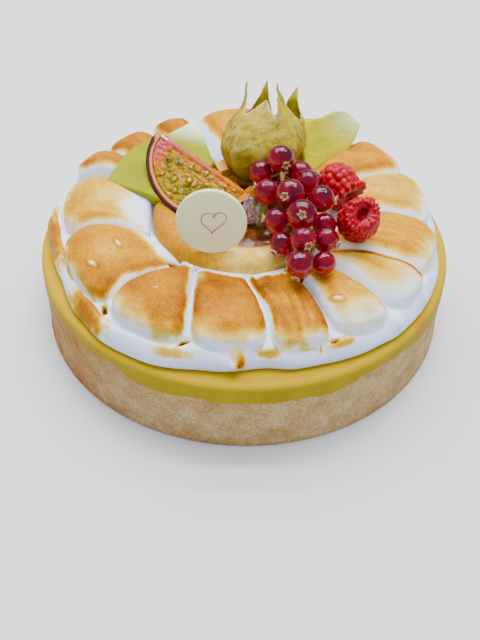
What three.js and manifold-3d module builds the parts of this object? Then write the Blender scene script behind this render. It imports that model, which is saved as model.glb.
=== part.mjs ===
// A round mango cake: a pale biscuit crust, a mango layer, toasted meringue petals round a
// toasted meringue ring, and a garnish of fruit. Millimetres, +Z up, the front is towards -Y,
// and the origin is the centre of the cake's bottom.

import * as THREE from 'three';
import { LoftGeometry } from 'three/addons/geometries/LoftGeometry.js';
import { mergeVertices } from 'three/addons/utils/BufferGeometryUtils.js';
import Module from 'manifold-3d';

const wasm = await Module();
wasm.setup();

// Driving dimensions.
const CAKE_RADIUS = 90;
const CAKE_SIDES = 72;
const LAYER_TOP = 35;
const GAP = 0.3;

const PETAL_INNER = 41;
const FLOOR_TOP = 41;
const GROOVE_TOP = 46.3;
const SKIRT_TOP = 43.5;

const RING_CENTRE = new THREE.Vector2(-2.5, 1.5);
const RING_RADIUS = 31.6;
const RING_HALF_WIDTH = 6.8;
const RING_TOP = 52;
const RING_UNEVEN = 0.5;
const JELLY_TOP = 47;

const COIN_RADIUS = 14.6;
const COIN_THICKNESS = 2;

const FRUIT_LENGTH = 57;
const FRUIT_RADIUS = 25;
const RIND = 3;

const HUSK_RADIUS = 19.5;
const HUSK_WALL = 0.8;
const HUSK_BERRY_RADIUS = 8;

const COLOURS = {
  biscuit: 0xc4a377,
  mango: 0xe3b92e,
  meringue: 0xf3ead9,
  toasted: 0xc98d45,
  jelly: 0x8a4a08,
  whiteChocolate: 0xe9e6d2,
  rind: 0x4a1626,
  pulp: 0xd8a01e,
  husk: 0xc9b765,
  huskBerry: 0xe8860f,
  melon: 0xb9c04c,
  pistachio: 0x7d8c32,
  raspberry: 0xb3122a,
  currant: 0x8c0a1c,
  stem: 0x7f8a35,
  mangoFlesh: 0xe08a12,
};

// Every piece keeps its geometry in the cake's own frame, because the pieces are cut to fit
// each other.
const cake = new THREE.Group();

function add(name, geometry, color, roughness) {
  const material = new THREE.MeshStandardMaterial({ color, roughness, metalness: 0 });
  const mesh = new THREE.Mesh(geometry, material);
  mesh.name = name;
  cake.add(mesh);
  return mesh;
}

// A closed curve through [degrees, value] pairs, level at every pair, read in radians.
function roundCurve(pairs) {
  return (angle) => {
    const degrees = THREE.MathUtils.euclideanModulo(THREE.MathUtils.radToDeg(angle), 360);
    let next = pairs.findIndex(([at]) => at > degrees);
    if (next < 0) next = 0;
    const [toAt, to] = pairs[next];
    const [fromAt, from] = pairs[(next + pairs.length - 1) % pairs.length];
    const span = THREE.MathUtils.euclideanModulo(toAt - fromAt, 360);
    const part = THREE.MathUtils.euclideanModulo(degrees - fromAt, 360) / span;
    return THREE.MathUtils.lerp(from, to, THREE.MathUtils.smoothstep(part, 0, 1));
  };
}

// One ring of points round the Z axis; pointAt gets the angle and the column's number.
function ring(count, pointAt) {
  return Array.from({ length: count }, (_, i) => pointAt((i / count) * 2 * Math.PI, i));
}

function polar(radius, angle, z) {
  return new THREE.Vector3(radius * Math.cos(angle), radius * Math.sin(angle), z);
}

// Skins a row of rings and closes each end with a fan of triangles to its middle.
function skin(rings) {
  const middle = (points) => {
    const sum = points.reduce((total, point) => total.add(point), new THREE.Vector3());
    return sum.divideScalar(points.length);
  };
  const first = middle(rings[0]);
  const last = middle(rings[rings.length - 1]);
  return new LoftGeometry([rings[0].map(() => first), ...rings, rings[0].map(() => last)]);
}

// Solids for joining and cutting, with shared vertices.
function welded(geometry) {
  const copy = new THREE.BufferGeometry().copy(geometry);
  copy.deleteAttribute('normal');
  copy.deleteAttribute('uv');
  const merged = geometry.userData.isWelded ? copy : mergeVertices(copy, 1e-4);
  merged.userData = { isWelded: true };
  return merged;
}

function solid(geometry) {
  const merged = welded(geometry);
  const vertProperties = new Float32Array(merged.attributes.position.array);
  const triVerts = new Uint32Array(merged.index.array);
  return new wasm.Manifold(new wasm.Mesh({ numProp: 3, vertProperties, triVerts }));
}

function geometryOf(manifold) {
  const mesh = manifold.getMesh();
  const geometry = new THREE.BufferGeometry();
  geometry.setAttribute('position', new THREE.BufferAttribute(mesh.vertProperties, 3));
  geometry.setIndex(new THREE.BufferAttribute(mesh.triVerts, 1));
  geometry.computeVertexNormals();
  geometry.userData = { isWelded: true };
  return geometry;
}

// The same closed shape with its surface moved out by an amount, for cutting its neighbours.
function grown(geometry, amount = GAP) {
  const merged = welded(geometry);
  merged.computeVertexNormals();
  const { position, normal } = merged.attributes;
  for (let i = 0; i < position.count; i++) {
    position.setXYZ(
      i,
      position.getX(i) + normal.getX(i) * amount,
      position.getY(i) + normal.getY(i) * amount,
      position.getZ(i) + normal.getZ(i) * amount,
    );
  }
  return merged;
}

// Cuts the neighbours out of a piece, with the gap round each, and keeps the largest part.
// The neighbour itself is cut too, because in a sharp groove its grown shape folds over.
function fitted(geometry, neighbours) {
  let piece = solid(geometry);
  for (const neighbour of neighbours) {
    piece = piece.subtract(solid(grown(neighbour.geometry))).subtract(solid(neighbour.geometry));
  }
  const parts = piece.decompose();
  parts.sort((a, b) => b.volume() - a.volume());
  return geometryOf(parts[0]);
}

// The biscuit crust, with the uneven line where the mango layer was poured onto it.
const pourLine = roundCurve([
  [12, 26.2], [30, 27.6], [52, 25.2], [70, 26.8], [88, 25.8], [104, 27.9], [125, 25.4], [146, 26.6],
  [163, 25.3], [184, 27.2], [200, 26.1], [219, 28.5], [228, 27.8], [235, 30.2], [242, 25.6],
  [250, 25], [259, 27], [263, 25.6], [276, 25.6], [285, 26.3], [293, 25.1], [303, 28.4],
  [312, 28.6], [331, 24.8], [350, 26.6],
]);

function cakeRing(radius, heightAt) {
  return ring(CAKE_SIDES, (angle) => polar(radius, angle, heightAt(angle)));
}

function makeCrust() {
  return skin([
    cakeRing(CAKE_RADIUS - 0.8, () => 0),
    cakeRing(CAKE_RADIUS, () => 0.8),
    cakeRing(CAKE_RADIUS - 0.5, () => 5),
    cakeRing(CAKE_RADIUS - 0.4, (angle) => pourLine(angle) - 0.7),
    cakeRing(CAKE_RADIUS - 1.1, (angle) => pourLine(angle)),
  ]);
}

function makeMangoLayer() {
  return skin([
    cakeRing(CAKE_RADIUS - 1.1, (angle) => pourLine(angle) + GAP),
    cakeRing(CAKE_RADIUS - 0.1, (angle) => pourLine(angle) + GAP),
    cakeRing(CAKE_RADIUS, () => LAYER_TOP - 2.2),
    cakeRing(CAKE_RADIUS - 0.7, () => LAYER_TOP - 0.6),
    cakeRing(CAKE_RADIUS - 2.4, () => LAYER_TOP),
  ]);
}

// The meringue: fifteen piped petals that run out from the middle over a bulging skirt.
// A petal starts at a groove, given by its angle at the inner end, in the middle and at the
// outer end, and stops at the next petal's groove. Its tips are how far out its low and its high
// side reach, and its lean lifts one long edge over the next.
const PETALS = [
  { groove: [162, 159, 162], tips: [83, 77.5], crest: 54.5, lean: -0.1 },
  { groove: [203, 190, 194], tips: [80, 80], crest: 53.5, lean: -0.1 },
  { groove: [235, 225, 227], tips: [81, 80], crest: 53.5, lean: 0 },
  { groove: [241, 250, 254], tips: [78.5, 79], crest: 53.5, lean: 0.05 },
  { groove: [272, 278, 277], tips: [79, 80.5], crest: 52.5, lean: 0 },
  { groove: [300, 298.5, 296.5], tips: [79.5, 84], crest: 53, lean: -0.1 },
  { groove: [316.5, 316.7, 316.8], tips: [83, 84.5], crest: 53.5, lean: 0.25 },
  { groove: [328.5, 332.4, 334], tips: [83, 83.5], crest: 53.5, lean: 0.25 },
  { groove: [362, 361, 356], tips: [82, 82.5], crest: 54.5, lean: 0.2 },
  { groove: [388, 385, 384], tips: [83, 83.5], crest: 55, lean: 0.1 },
  { groove: [410, 408, 407], tips: [83.5, 83.5], crest: 56, lean: 0 },
  { groove: [436, 434, 434], tips: [82.5, 82], crest: 57, lean: 0 },
  { groove: [466, 470, 471], tips: [82, 82], crest: 56, lean: 0 },
  { groove: [487, 487, 487], tips: [82.5, 83], crest: 55, lean: 0 },
  { groove: [506, 506, 506], tips: [84, 84.5], crest: 56, lean: 0 },
];

// Across a petal, -1 and 1 are its grooves; the columns are close where its edge is steep.
const ACROSS = [-1, -0.86, -0.55, 0, 0.5, 0.84, 0.96];
const PETAL_END = 15;
const PETAL_RADII = [84, 81, 77, 71, 64, 56, 48, PETAL_INNER];

const skirtEdge = roundCurve([
  [10, 86.2], [30, 87.4], [50, 87.6], [75, 86], [95, 85.5], [120, 86], [140, 86.8], [160, 88.2],
  [178, 88.4], [187, 85.8], [204, 83.6], [219, 86.2], [232, 88], [244, 87.3], [262, 83.4],
  [276, 80.9], [286, 83.2], [308, 85.9], [317, 87.2], [332, 86.9], [340, 86.6], [354, 85.2],
]);

// How far the ring's hollow in the meringue reaches from the cake's middle.
function hollowEdge(angle) {
  const reach = RING_RADIUS + RING_HALF_WIDTH + RING_UNEVEN + 0.5;
  const along = RING_CENTRE.x * Math.cos(angle) + RING_CENTRE.y * Math.sin(angle);
  return along + Math.sqrt(reach ** 2 - RING_CENTRE.lengthSq() + along ** 2);
}

function grooveAngle(petal, radius, turn) {
  const part = THREE.MathUtils.clamp((radius - PETAL_INNER) / (80 - PETAL_INNER), 0, 1);
  const [inner, middle, outer] = petal.groove;
  const bend = 4 * (middle - (inner + outer) / 2) * part * (1 - part);
  return THREE.MathUtils.degToRad(THREE.MathUtils.lerp(inner, outer, part) + bend + turn);
}

function petalHeight(petal, across, radius) {
  const tip = THREE.MathUtils.lerp(...petal.tips, (across + 1) / 2);
  const outward = Math.max(0, (radius - tip + PETAL_END) / PETAL_END);
  const inward = THREE.MathUtils.smoothstep(radius, PETAL_INNER - 6, 62);
  const outline = Math.abs(across) ** 2.6 + outward ** 2.4;
  const dome = Math.max(0, 1 - outline) ** 0.6;
  const floor = THREE.MathUtils.lerp(GROOVE_TOP, SKIRT_TOP, THREE.MathUtils.smoothstep(radius, 66, 84));
  const rise = (petal.crest - floor) * THREE.MathUtils.lerp(0.35, 1, inward);
  return floor + rise * dome * (1 + petal.lean * across);
}

function meringueRing(radiusAt, heightAt) {
  const points = [];
  PETALS.forEach((petal, k) => {
    const next = PETALS[(k + 1) % PETALS.length];
    const turn = k + 1 === PETALS.length ? 360 : 0;
    for (const across of ACROSS) {
      const outer = THREE.MathUtils.lerp(
        grooveAngle(petal, 90, 0),
        grooveAngle(next, 90, turn),
        (across + 1) / 2,
      );
      const radius = radiusAt(outer);
      const from = grooveAngle(petal, radius, 0);
      const to = grooveAngle(next, radius, turn);
      const angle = THREE.MathUtils.lerp(from, to, (across + 1) / 2);
      points.push(polar(radius, angle, heightAt(petal, across, radius)));
    }
  });
  return points;
}

function makeMeringue() {
  const bottom = LAYER_TOP + GAP;
  const rings = [
    meringueRing((angle) => skirtEdge(angle) - 1, () => bottom),
    meringueRing((angle) => skirtEdge(angle), () => bottom + 2),
    meringueRing((angle) => skirtEdge(angle) - 1.2, () => SKIRT_TOP - 1.6),
  ];
  for (const reach of PETAL_RADII) {
    const squeeze = (angle) => {
      const outermost = skirtEdge(angle) - 3.4;
      const part = (reach - PETAL_INNER) / (PETAL_RADII[0] - PETAL_INNER);
      return THREE.MathUtils.lerp(hollowEdge(angle) + 2.2, outermost, part);
    };
    rings.push(meringueRing(squeeze, petalHeight));
  }
  rings.push(meringueRing(hollowEdge, () => FLOOR_TOP));
  return skin(rings);
}

// The piped ring round the middle: a bead with a flat bottom, slightly uneven.
function ringPoint(angle, acrossAngle) {
  const uneven = RING_UNEVEN * (0.6 * Math.sin(3 * angle + 0.6) + 0.4 * Math.sin(7 * angle));
  const halfWidth = RING_HALF_WIDTH + uneven;
  const out = Math.cos(acrossAngle);
  const up = Math.sin(acrossAngle);
  const radius = RING_RADIUS + halfWidth * Math.sign(out) * Math.abs(out) ** 0.8;
  const bottom = FLOOR_TOP + GAP;
  const middle = bottom + 4;
  const top = middle + (RING_TOP + uneven - middle) * Math.max(0, up) ** 0.85;
  const z = up > 0 ? top : Math.max(bottom, middle + 5.2 * up);
  const point = polar(radius, angle, z);
  point.x += RING_CENTRE.x;
  point.y += RING_CENTRE.y;
  return point;
}

function makeRing() {
  const sections = [];
  const steps = 42;
  for (let i = 0; i <= steps; i++) {
    const angle = -((i % steps) / steps) * 2 * Math.PI;
    sections.push(ring(9, (acrossAngle) => ringPoint(angle, acrossAngle + Math.PI / 2)));
  }
  return new LoftGeometry(sections);
}

// The mango jelly that fills the ring, with a lumpy top.
function makeJelly() {
  const inside = RING_RADIUS - RING_HALF_WIDTH - 1;
  const bottom = FLOOR_TOP + GAP;
  const jellyRing = (radius, heightAt) =>
    ring(24, (angle) => {
      const point = polar(radius, angle, heightAt(angle));
      point.x += RING_CENTRE.x;
      point.y += RING_CENTRE.y;
      return point;
    });
  const lumps = (angle, radius) => 0.5 * Math.sin(5 * angle + radius / 4) * Math.cos(radius / 3);
  return skin([
    jellyRing(inside, () => bottom),
    jellyRing(inside, () => JELLY_TOP - 0.8),
    jellyRing(inside - 1, () => JELLY_TOP),
    jellyRing(inside * 0.66, (angle) => JELLY_TOP + lumps(angle, 16)),
    jellyRing(inside * 0.33, (angle) => JELLY_TOP + lumps(angle, 8)),
    jellyRing(1, () => JELLY_TOP),
  ]);
}

// A thin coin of white chocolate that stands in the ring and leans back.
function makeCoin() {
  const half = COIN_THICKNESS / 2;
  const profile = [
    [0, -half], [COIN_RADIUS - 0.3, -half], [COIN_RADIUS, -half + 0.3],
    [COIN_RADIUS, half - 0.3], [COIN_RADIUS - 0.3, half], [0, half],
  ].map(([x, y]) => new THREE.Vector2(x, y));
  const geometry = new THREE.LatheGeometry(profile, 32);
  const leanBack = THREE.MathUtils.degToRad(9);
  geometry.rotateX(-leanBack);
  geometry.rotateZ(THREE.MathUtils.degToRad(-2));
  geometry.translate(-13.7, -27.4, 66);
  return geometry;
}

// A wedge of passion fruit that lies on its skin, one cut face up towards the front.
// In its own frame the core runs along X, and the wedge opens from +Y round towards -Z.
const WEDGE_ANGLE = THREE.MathUtils.degToRad(100);
const STEM_END_TAPER = 0.13;
const wedgeTip = new THREE.Vector3(-41, 36, 67.5);
const wedgeFoot = new THREE.Vector3(2.1, -1.6, 60.5);
const wedgeRim = new THREE.Vector3(-35, 0.5, 52.8);

function wedgeFrame() {
  const core = wedgeTip.clone().sub(wedgeFoot).normalize();
  const toRim = wedgeRim.clone().sub(wedgeFoot);
  const along = toRim.clone().projectOnVector(core);
  const face = toRim.sub(along).normalize();
  const out = new THREE.Vector3().crossVectors(core, face);
  const middle = wedgeTip.clone().add(wedgeFoot).multiplyScalar(0.5);
  return new THREE.Matrix4().makeBasis(core, face, out).setPosition(middle);
}

function fruitBody(inset) {
  const body = new THREE.SphereGeometry(1, 18, 12);
  body.rotateZ(Math.PI / 2);
  const { position } = body.attributes;
  for (let i = 0; i < position.count; i++) {
    const along = position.getX(i);
    const across = (FRUIT_RADIUS - inset) * (1 - STEM_END_TAPER * along);
    const x = along * (FRUIT_LENGTH / 2 - inset);
    position.setXYZ(i, x, position.getY(i) * across, position.getZ(i) * across);
  }
  return solid(body);
}

function wedgeCutter() {
  const reach = 60;
  const outline = new THREE.Shape();
  outline.moveTo(0, 0);
  outline.lineTo(reach, 0);
  outline.lineTo(reach, -reach);
  outline.lineTo(reach * Math.cos(WEDGE_ANGLE), -reach * Math.sin(WEDGE_ANGLE));
  outline.closePath();
  const prism = new THREE.ExtrudeGeometry(outline, { depth: 80, bevelEnabled: false });
  prism.translate(0, 0, -40);
  // The outline's X becomes Y, its Y becomes Z and the depth runs along X.
  prism.applyMatrix4(new THREE.Matrix4().set(0, 0, 1, 0, 1, 0, 0, 0, 0, 1, 0, 0, 0, 0, 0, 1));
  return solid(prism);
}

function makePassionFruit() {
  const frame = wedgeFrame();
  const cutter = wedgeCutter();
  const shell = fruitBody(0).subtract(fruitBody(RIND)).intersect(cutter);
  const pulp = fruitBody(RIND + GAP).intersect(cutter);
  return {
    rind: geometryOf(shell).applyMatrix4(frame),
    pulp: geometryOf(pulp).applyMatrix4(frame),
  };
}

// A papery husk: an open lantern with five lobes that end in tips, leaning back.
// Each lobe has its middle angle, the height of its tip, the way the tip leans, and the heights
// of the notches at its low and high side.
const HUSK_LOBES = [
  { angle: 252, height: 0.86, lean: [4, 3], notches: [0.76, 0.74] },
  { angle: 324, height: 0.99, lean: [-4, 2], notches: [0.74, 0.7] },
  { angle: 36, height: 0.96, lean: [7, 0], notches: [0.7, 0.66] },
  { angle: 108, height: 1, lean: [2.5, 0], notches: [0.66, 0.66] },
  { angle: 180, height: 1, lean: [-0.5, 1], notches: [0.66, 0.76] },
];
const HUSK_COLUMNS = 35;
const huskSpine = new THREE.CatmullRomCurve3([
  new THREE.Vector3(2.5, 25, 48.8),
  new THREE.Vector3(6.5, 31.5, 60),
  new THREE.Vector3(8.5, 37.5, 72),
  new THREE.Vector3(9, 46, 88),
]);
const huskProfile = new THREE.SplineCurve([
  new THREE.Vector2(0, 0.1),
  new THREE.Vector2(0.1, 0.5),
  new THREE.Vector2(0.27, 0.86),
  new THREE.Vector2(0.45, 1),
  new THREE.Vector2(0.66, 0.86),
  new THREE.Vector2(0.84, 0.56),
  new THREE.Vector2(1, 0.5),
]);

function huskRadius(height) {
  const target = THREE.MathUtils.clamp(height, 0, 1);
  let low = 0;
  let high = 1;
  for (let i = 0; i < 24; i++) {
    const middle = (low + high) / 2;
    if (huskProfile.getPoint(middle).x < target) low = middle;
    else high = middle;
  }
  return huskProfile.getPoint(low).y * HUSK_RADIUS;
}

function huskPoint(column, part, wall) {
  const perLobe = HUSK_COLUMNS / HUSK_LOBES.length;
  const lobe = HUSK_LOBES[Math.floor(column / perLobe)];
  const across = ((column % perLobe) + 0.5) / perLobe * 2 - 1;
  const pointed = (1 - Math.abs(across) ** 1.25) ** 1.3;
  const notch = lobe.notches[across < 0 ? 0 : 1];
  const top = THREE.MathUtils.lerp(notch, lobe.height, pointed);
  const height = part * top;
  const angle = THREE.MathUtils.degToRad(lobe.angle + across * 36);
  const rib = 1 + 0.05 * Math.cos(5 * (angle - Math.PI / 2));
  const radius = huskRadius(height) * rib - wall;
  const point = huskSpine.getPoint(height);
  const swing = Math.max(0, (height - 0.6) / 0.4) ** 1.5;
  point.x += Math.cos(angle) * radius + lobe.lean[0] * swing;
  point.y += Math.sin(angle) * radius + lobe.lean[1] * swing;
  point.z += Math.sin(angle) * radius * -0.42;
  return point;
}

function makeHusk() {
  const rows = [0, 0.17, 0.38, 0.6, 0.82, 1];
  const outside = rows.map((part) => ring(HUSK_COLUMNS, (_, i) => huskPoint(i, part, 0)));
  const inside = rows.map((part) => ring(HUSK_COLUMNS, (_, i) => huskPoint(i, part, HUSK_WALL)));
  inside[0] = inside[0].map((point) => point.setZ(point.z + HUSK_WALL));
  return skin([...outside, ...inside.reverse()]);
}

function ball(radius, centre) {
  const geometry = new THREE.IcosahedronGeometry(radius, 1);
  geometry.translate(...centre);
  return geometry;
}

// A flat slice of melon: an outline drawn on the slice, its thickness, and where it lies.
function makeMelon(corners, thickness, origin, acrossTo, upTo) {
  const across = new THREE.Vector3(...acrossTo).sub(new THREE.Vector3(...origin)).normalize();
  const up = new THREE.Vector3(...upTo).sub(new THREE.Vector3(...origin));
  const out = new THREE.Vector3().crossVectors(across, up).normalize();
  up.crossVectors(out, across);
  const outline = new THREE.Shape(corners.map(([x, y]) => new THREE.Vector2(x, y)));
  const geometry = new THREE.ExtrudeGeometry(outline, {
    depth: thickness - 1.2,
    bevelThickness: 0.6,
    bevelSize: 0.6,
    bevelOffset: -0.6,
    bevelSegments: 1,
  });
  geometry.translate(0, 0, 0.6 - thickness);
  const frame = new THREE.Matrix4().makeBasis(across, up, out);
  frame.setPosition(new THREE.Vector3(...origin));
  return geometry.applyMatrix4(frame);
}

// The outlines of the two slices, read from the slice's lower left corner.
const LEFT_MELON = [
  [-1, 0], [28, 1.5], [38, 20], [37, 32.5], [31, 38], [25, 45], [20.5, 49], [15, 52.5],
  [9, 40], [-1, 25.5], [-2.5, 18],
];
const RIGHT_MELON = [
  [0, 0], [13, 0], [20, 6], [25.7, 12], [27.8, 15.6], [25, 19.4], [22, 23.3], [17, 24.4],
  [10, 23], [1, 23], [-3, 20], [-3, 4],
];

// A raspberry in its own frame: its hollow opens towards +Z and its tip points to -Z.
// Its drupelets are three columns wide and two rows high, set in staggered rows.
function makeRaspberry({ at, opening, radius, length }) {
  const columns = 27;
  const outsideRows = 10;
  const rows = [];
  for (let i = 0; i <= outsideRows; i++) {
    const part = (i + 0.3) / (outsideRows + 0.3);
    const bulge = Math.sin(Math.PI * (part * 0.62) ** 0.62) ** 0.7;
    const lump = i % 2 === 0 ? -0.45 : 0.5;
    const stagger = (Math.floor(i / 2) % 2) * 1.5;
    rows.push(
      ring(columns, (angle, k) => {
        const crest = (k + stagger) % 3 === 0 ? -0.5 : 0.3;
        const reach = Math.max(1.2, (radius - 0.6) * bulge + lump + crest);
        return polar(reach, angle, (part - 0.5) * length);
      }),
    );
  }
  rows.push(ring(columns, (angle) => polar(radius * 0.45, angle, length / 2 - 0.4)));
  rows.push(ring(columns, (angle) => polar(radius * 0.25, angle, length / 2 - 7)));
  const geometry = skin(rows);
  const turn = new THREE.Quaternion().setFromUnitVectors(
    new THREE.Vector3(0, 0, 1),
    new THREE.Vector3(...opening).normalize(),
  );
  geometry.applyQuaternion(turn);
  return geometry.translate(...at);
}

const RASPBERRIES = [
  { at: [46.5, -20.5, 62.5], opening: [0.22, -0.34, 0.91], radius: 8.8, length: 18 },
  { at: [39.9, 8.4, 61.5], opening: [0.58, -0.74, -0.335], radius: 8.4, length: 17 },
];

// Redcurrants of one strig: centre, radius and the way the dried flower end points.
const CURRANTS = [
  { at: [14.5, 7.5, 73.5], radius: 5.8, flower: [0.35, -0.95, 0.1] },
  { at: [6.5, 8.5, 65.5], radius: 5.4 },
  { at: [23.5, 9, 65], radius: 5.5 },
  { at: [9, -5.5, 65.5], radius: 5.6, flower: [-0.9, 0.15, 0.3] },
  { at: [18.5, -12.5, 70], radius: 6.2, flower: [-0.4, -0.85, 0.4] },
  { at: [31.5, -11.5, 67], radius: 5.8, flower: [0.95, -0.3, 0.1] },
  { at: [23, -24.5, 68.5], radius: 6.4, flower: [-0.05, -0.8, 0.6] },
  { at: [13, -21, 62.5], radius: 5.3, flower: [-0.98, 0, 0.15] },
  { at: [33, -20, 60], radius: 5 },
  { at: [33, -31, 61], radius: 5.4, flower: [0.8, -0.55, 0] },
  { at: [15.5, -31.5, 58.5], radius: 5.3, flower: [-0.6, -0.75, -0.2] },
  { at: [23.5, -36, 64.5], radius: 5.5, flower: [0.3, -0.95, 0.25] },
  { at: [22, -47, 61], radius: 5.7, flower: [-0.25, -0.85, -0.5] },
  { at: [32, -42.5, 58.5], radius: 4.7 },
  { at: [15.5, 12.5, 59], radius: 4.9 },
  { at: [27, 2, 57.5], radius: 4.9 },
  { at: [22, -12, 57], radius: 4.9 },
  { at: [26, -1.5, 68], radius: 5.4, flower: [0.75, 0.45, 0.5] },
];

// Moves berries that touch apart along the line between them, until all keep the gap.
function settle(berries) {
  const centres = berries.map((berry) => new THREE.Vector3(...berry.at));
  const push = new THREE.Vector3();
  for (let pass = 0; pass < 200; pass++) {
    for (let i = 0; i < centres.length; i++) {
      for (let j = i + 1; j < centres.length; j++) {
        push.subVectors(centres[j], centres[i]);
        const lack = berries[i].radius + berries[j].radius + GAP + 0.02 - push.length();
        if (lack <= 0) continue;
        push.setLength(lack / 2);
        centres[j].add(push);
        centres[i].sub(push);
      }
    }
  }
  return centres;
}

// A berry with its dried flower end, a short five-sided nub, where that shows.
function makeCurrant(centre, radius, flower) {
  if (!flower) return ball(radius, centre.toArray());
  const nub = new THREE.CylinderGeometry(1.1, 1.5, 2.2, 5);
  nub.rotateX(Math.PI / 2);
  nub.translate(0, 0, radius - 0.3);
  const turn = new THREE.Quaternion().setFromUnitVectors(
    new THREE.Vector3(0, 0, 1),
    new THREE.Vector3(...flower).normalize(),
  );
  nub.applyQuaternion(turn);
  const joined = solid(new THREE.IcosahedronGeometry(radius, 1)).add(solid(nub));
  return geometryOf(joined).translate(centre.x, centre.y, centre.z);
}

function makeStem() {
  const path = new THREE.CatmullRomCurve3([
    new THREE.Vector3(15.2, 1.5, 70.5),
    new THREE.Vector3(16, -3.5, 66),
    new THREE.Vector3(18.5, -8, 60.5),
    new THREE.Vector3(25, -15, 61),
    new THREE.Vector3(26, -28, 56),
  ]);
  const section = new THREE.Shape();
  section.absarc(0, 0, 1.1, 0, 2 * Math.PI);
  return new THREE.ExtrudeGeometry(section, { steps: 12, curveSegments: 6, extrudePath: path });
}

// Half a pistachio kernel: long, round outside and flat inside.
function makeKernel(centre, size, turnZ, leanX) {
  const geometry = new THREE.SphereGeometry(1, 10, 8, 0, 2 * Math.PI);
  const position = geometry.attributes.position;
  for (let i = 0; i < position.count; i++) position.setX(i, Math.max(-0.25, position.getX(i)));
  geometry.scale(...size);
  geometry.rotateX(THREE.MathUtils.degToRad(90));
  geometry.rotateZ(THREE.MathUtils.degToRad(turnZ));
  geometry.rotateX(THREE.MathUtils.degToRad(leanX));
  geometry.translate(...centre);
  return geometry;
}

// Two dice of mango that fill the gaps beside the husk.
const MANGO_PIECES = [
  { at: [-10.5, 27.5, 53.6], size: 6.5, turn: 25 },
  { at: [2.4, 9.4, 52.4], size: 6, turn: 50 },
];

function makeDice({ at, size, turn }) {
  const geometry = new THREE.BoxGeometry(size, size, size * 0.8);
  geometry.rotateZ(THREE.MathUtils.degToRad(turn));
  geometry.rotateX(THREE.MathUtils.degToRad(12));
  return geometry.translate(...at);
}

// The cake itself.
add('crust', makeCrust(), COLOURS.biscuit, 0.9);
add('mango_layer', makeMangoLayer(), COLOURS.mango, 0.45);
const meringue = add('meringue', makeMeringue(), COLOURS.meringue, 0.6);
const jelly = add('mango_jelly', makeJelly(), COLOURS.jelly, 0.15);

// The coin is pressed into the soft ring, and the fruit rests on what is under it.
const coin = add('white_chocolate_coin', makeCoin(), COLOURS.whiteChocolate, 0.5);
const band = add('meringue_ring', fitted(makeRing(), [coin]), COLOURS.toasted, 0.6);
const bed = [meringue, band, jelly];

const passionFruit = makePassionFruit();
const rind = add('passion_fruit_rind', fitted(passionFruit.rind, [...bed, coin]), COLOURS.rind, 0.5);
const pulp = add('passion_fruit_pulp', fitted(passionFruit.pulp, [...bed, coin]), COLOURS.pulp, 0.15);

const husk = add('physalis_husk', fitted(makeHusk(), [...bed, rind, pulp]), COLOURS.husk, 0.7);
add('physalis_berry', ball(HUSK_BERRY_RADIUS, [5.4, 30, 61.2]), COLOURS.huskBerry, 0.35);

const leftMelon = makeMelon(LEFT_MELON, 6, [-62, 14.5, 54.5], [-39, 3, 53.5], [-25, 53.6, 62.5]);
const rightMelon = makeMelon(RIGHT_MELON, 7, [31, 33, 50], [46, 38.5, 51], [39, 51, 69]);
const fruit = [rind, pulp, husk];
add('melon_slice_left', fitted(leftMelon, [...bed, ...fruit]), COLOURS.melon, 0.25);
const melon = add('melon_slice_right', fitted(rightMelon, [...bed, ...fruit]), COLOURS.melon, 0.25);

const raspberries = RASPBERRIES.map((berry, i) => {
  const geometry = fitted(makeRaspberry(berry), [...bed, melon, husk]);
  return add(`raspberry_${i + 1}`, geometry, COLOURS.raspberry, 0.4);
});

const kernels = {
  left: makeKernel([2.2, -5, 54.9], [2.4, 6.9, 3.9], 75, -8),
  right: makeKernel([6.9, -6.4, 54.4], [2.4, 6.6, 3.9], 250, -14),
};
const small = [];
for (const [name, geometry] of Object.entries(kernels)) {
  const cut = fitted(geometry, [...bed, ...fruit, coin, ...small]);
  small.push(add(`pistachio_${name}`, cut, COLOURS.pistachio, 0.5));
}
MANGO_PIECES.forEach((piece, i) => {
  const cut = fitted(makeDice(piece), [...bed, ...fruit]);
  small.push(add(`mango_piece_${i + 1}`, cut, COLOURS.mangoFlesh, 0.2));
});

const under = [...bed, ...fruit, coin, melon, ...small, ...raspberries];
const currants = [];
settle(CURRANTS).forEach((centre, i) => {
  const { radius, flower } = CURRANTS[i];
  const berry = makeCurrant(centre, radius, flower);
  const cut = fitted(berry, [...under, ...currants]);
  currants.push(add(`redcurrant_${i + 1}`, cut, COLOURS.currant, 0.1));
});
add('redcurrant_stem', fitted(makeStem(), [...under, ...currants]), COLOURS.stem, 0.5);

export default cake;
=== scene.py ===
# A round mango cake: a biscuit crust, a mango layer, toasted meringue petals round a piped ring,
# and a garnish of fruit. Metres, +Z up, the front is towards -Y, and the origin is the centre of
# the cake's bottom. Sizes in the tables are millimetres, and MM turns them to metres.

import itertools
import math
import random

import bmesh
import bpy
import numpy as np
from mathutils import Matrix, Vector, noise


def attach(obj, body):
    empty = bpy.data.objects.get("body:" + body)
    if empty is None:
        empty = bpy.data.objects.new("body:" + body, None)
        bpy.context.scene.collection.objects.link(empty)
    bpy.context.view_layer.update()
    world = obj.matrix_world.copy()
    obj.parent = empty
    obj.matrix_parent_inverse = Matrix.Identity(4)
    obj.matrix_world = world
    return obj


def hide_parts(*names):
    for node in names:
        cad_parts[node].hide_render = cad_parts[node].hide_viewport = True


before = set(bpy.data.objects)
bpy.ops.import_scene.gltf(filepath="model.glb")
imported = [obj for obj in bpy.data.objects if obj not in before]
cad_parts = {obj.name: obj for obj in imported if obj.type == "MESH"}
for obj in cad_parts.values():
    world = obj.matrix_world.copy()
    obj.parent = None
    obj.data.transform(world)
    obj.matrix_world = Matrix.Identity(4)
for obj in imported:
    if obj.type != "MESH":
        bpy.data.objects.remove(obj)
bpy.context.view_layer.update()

MM = 0.001
BODY = "root"
UP = np.array([0, 0, 1])

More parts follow.
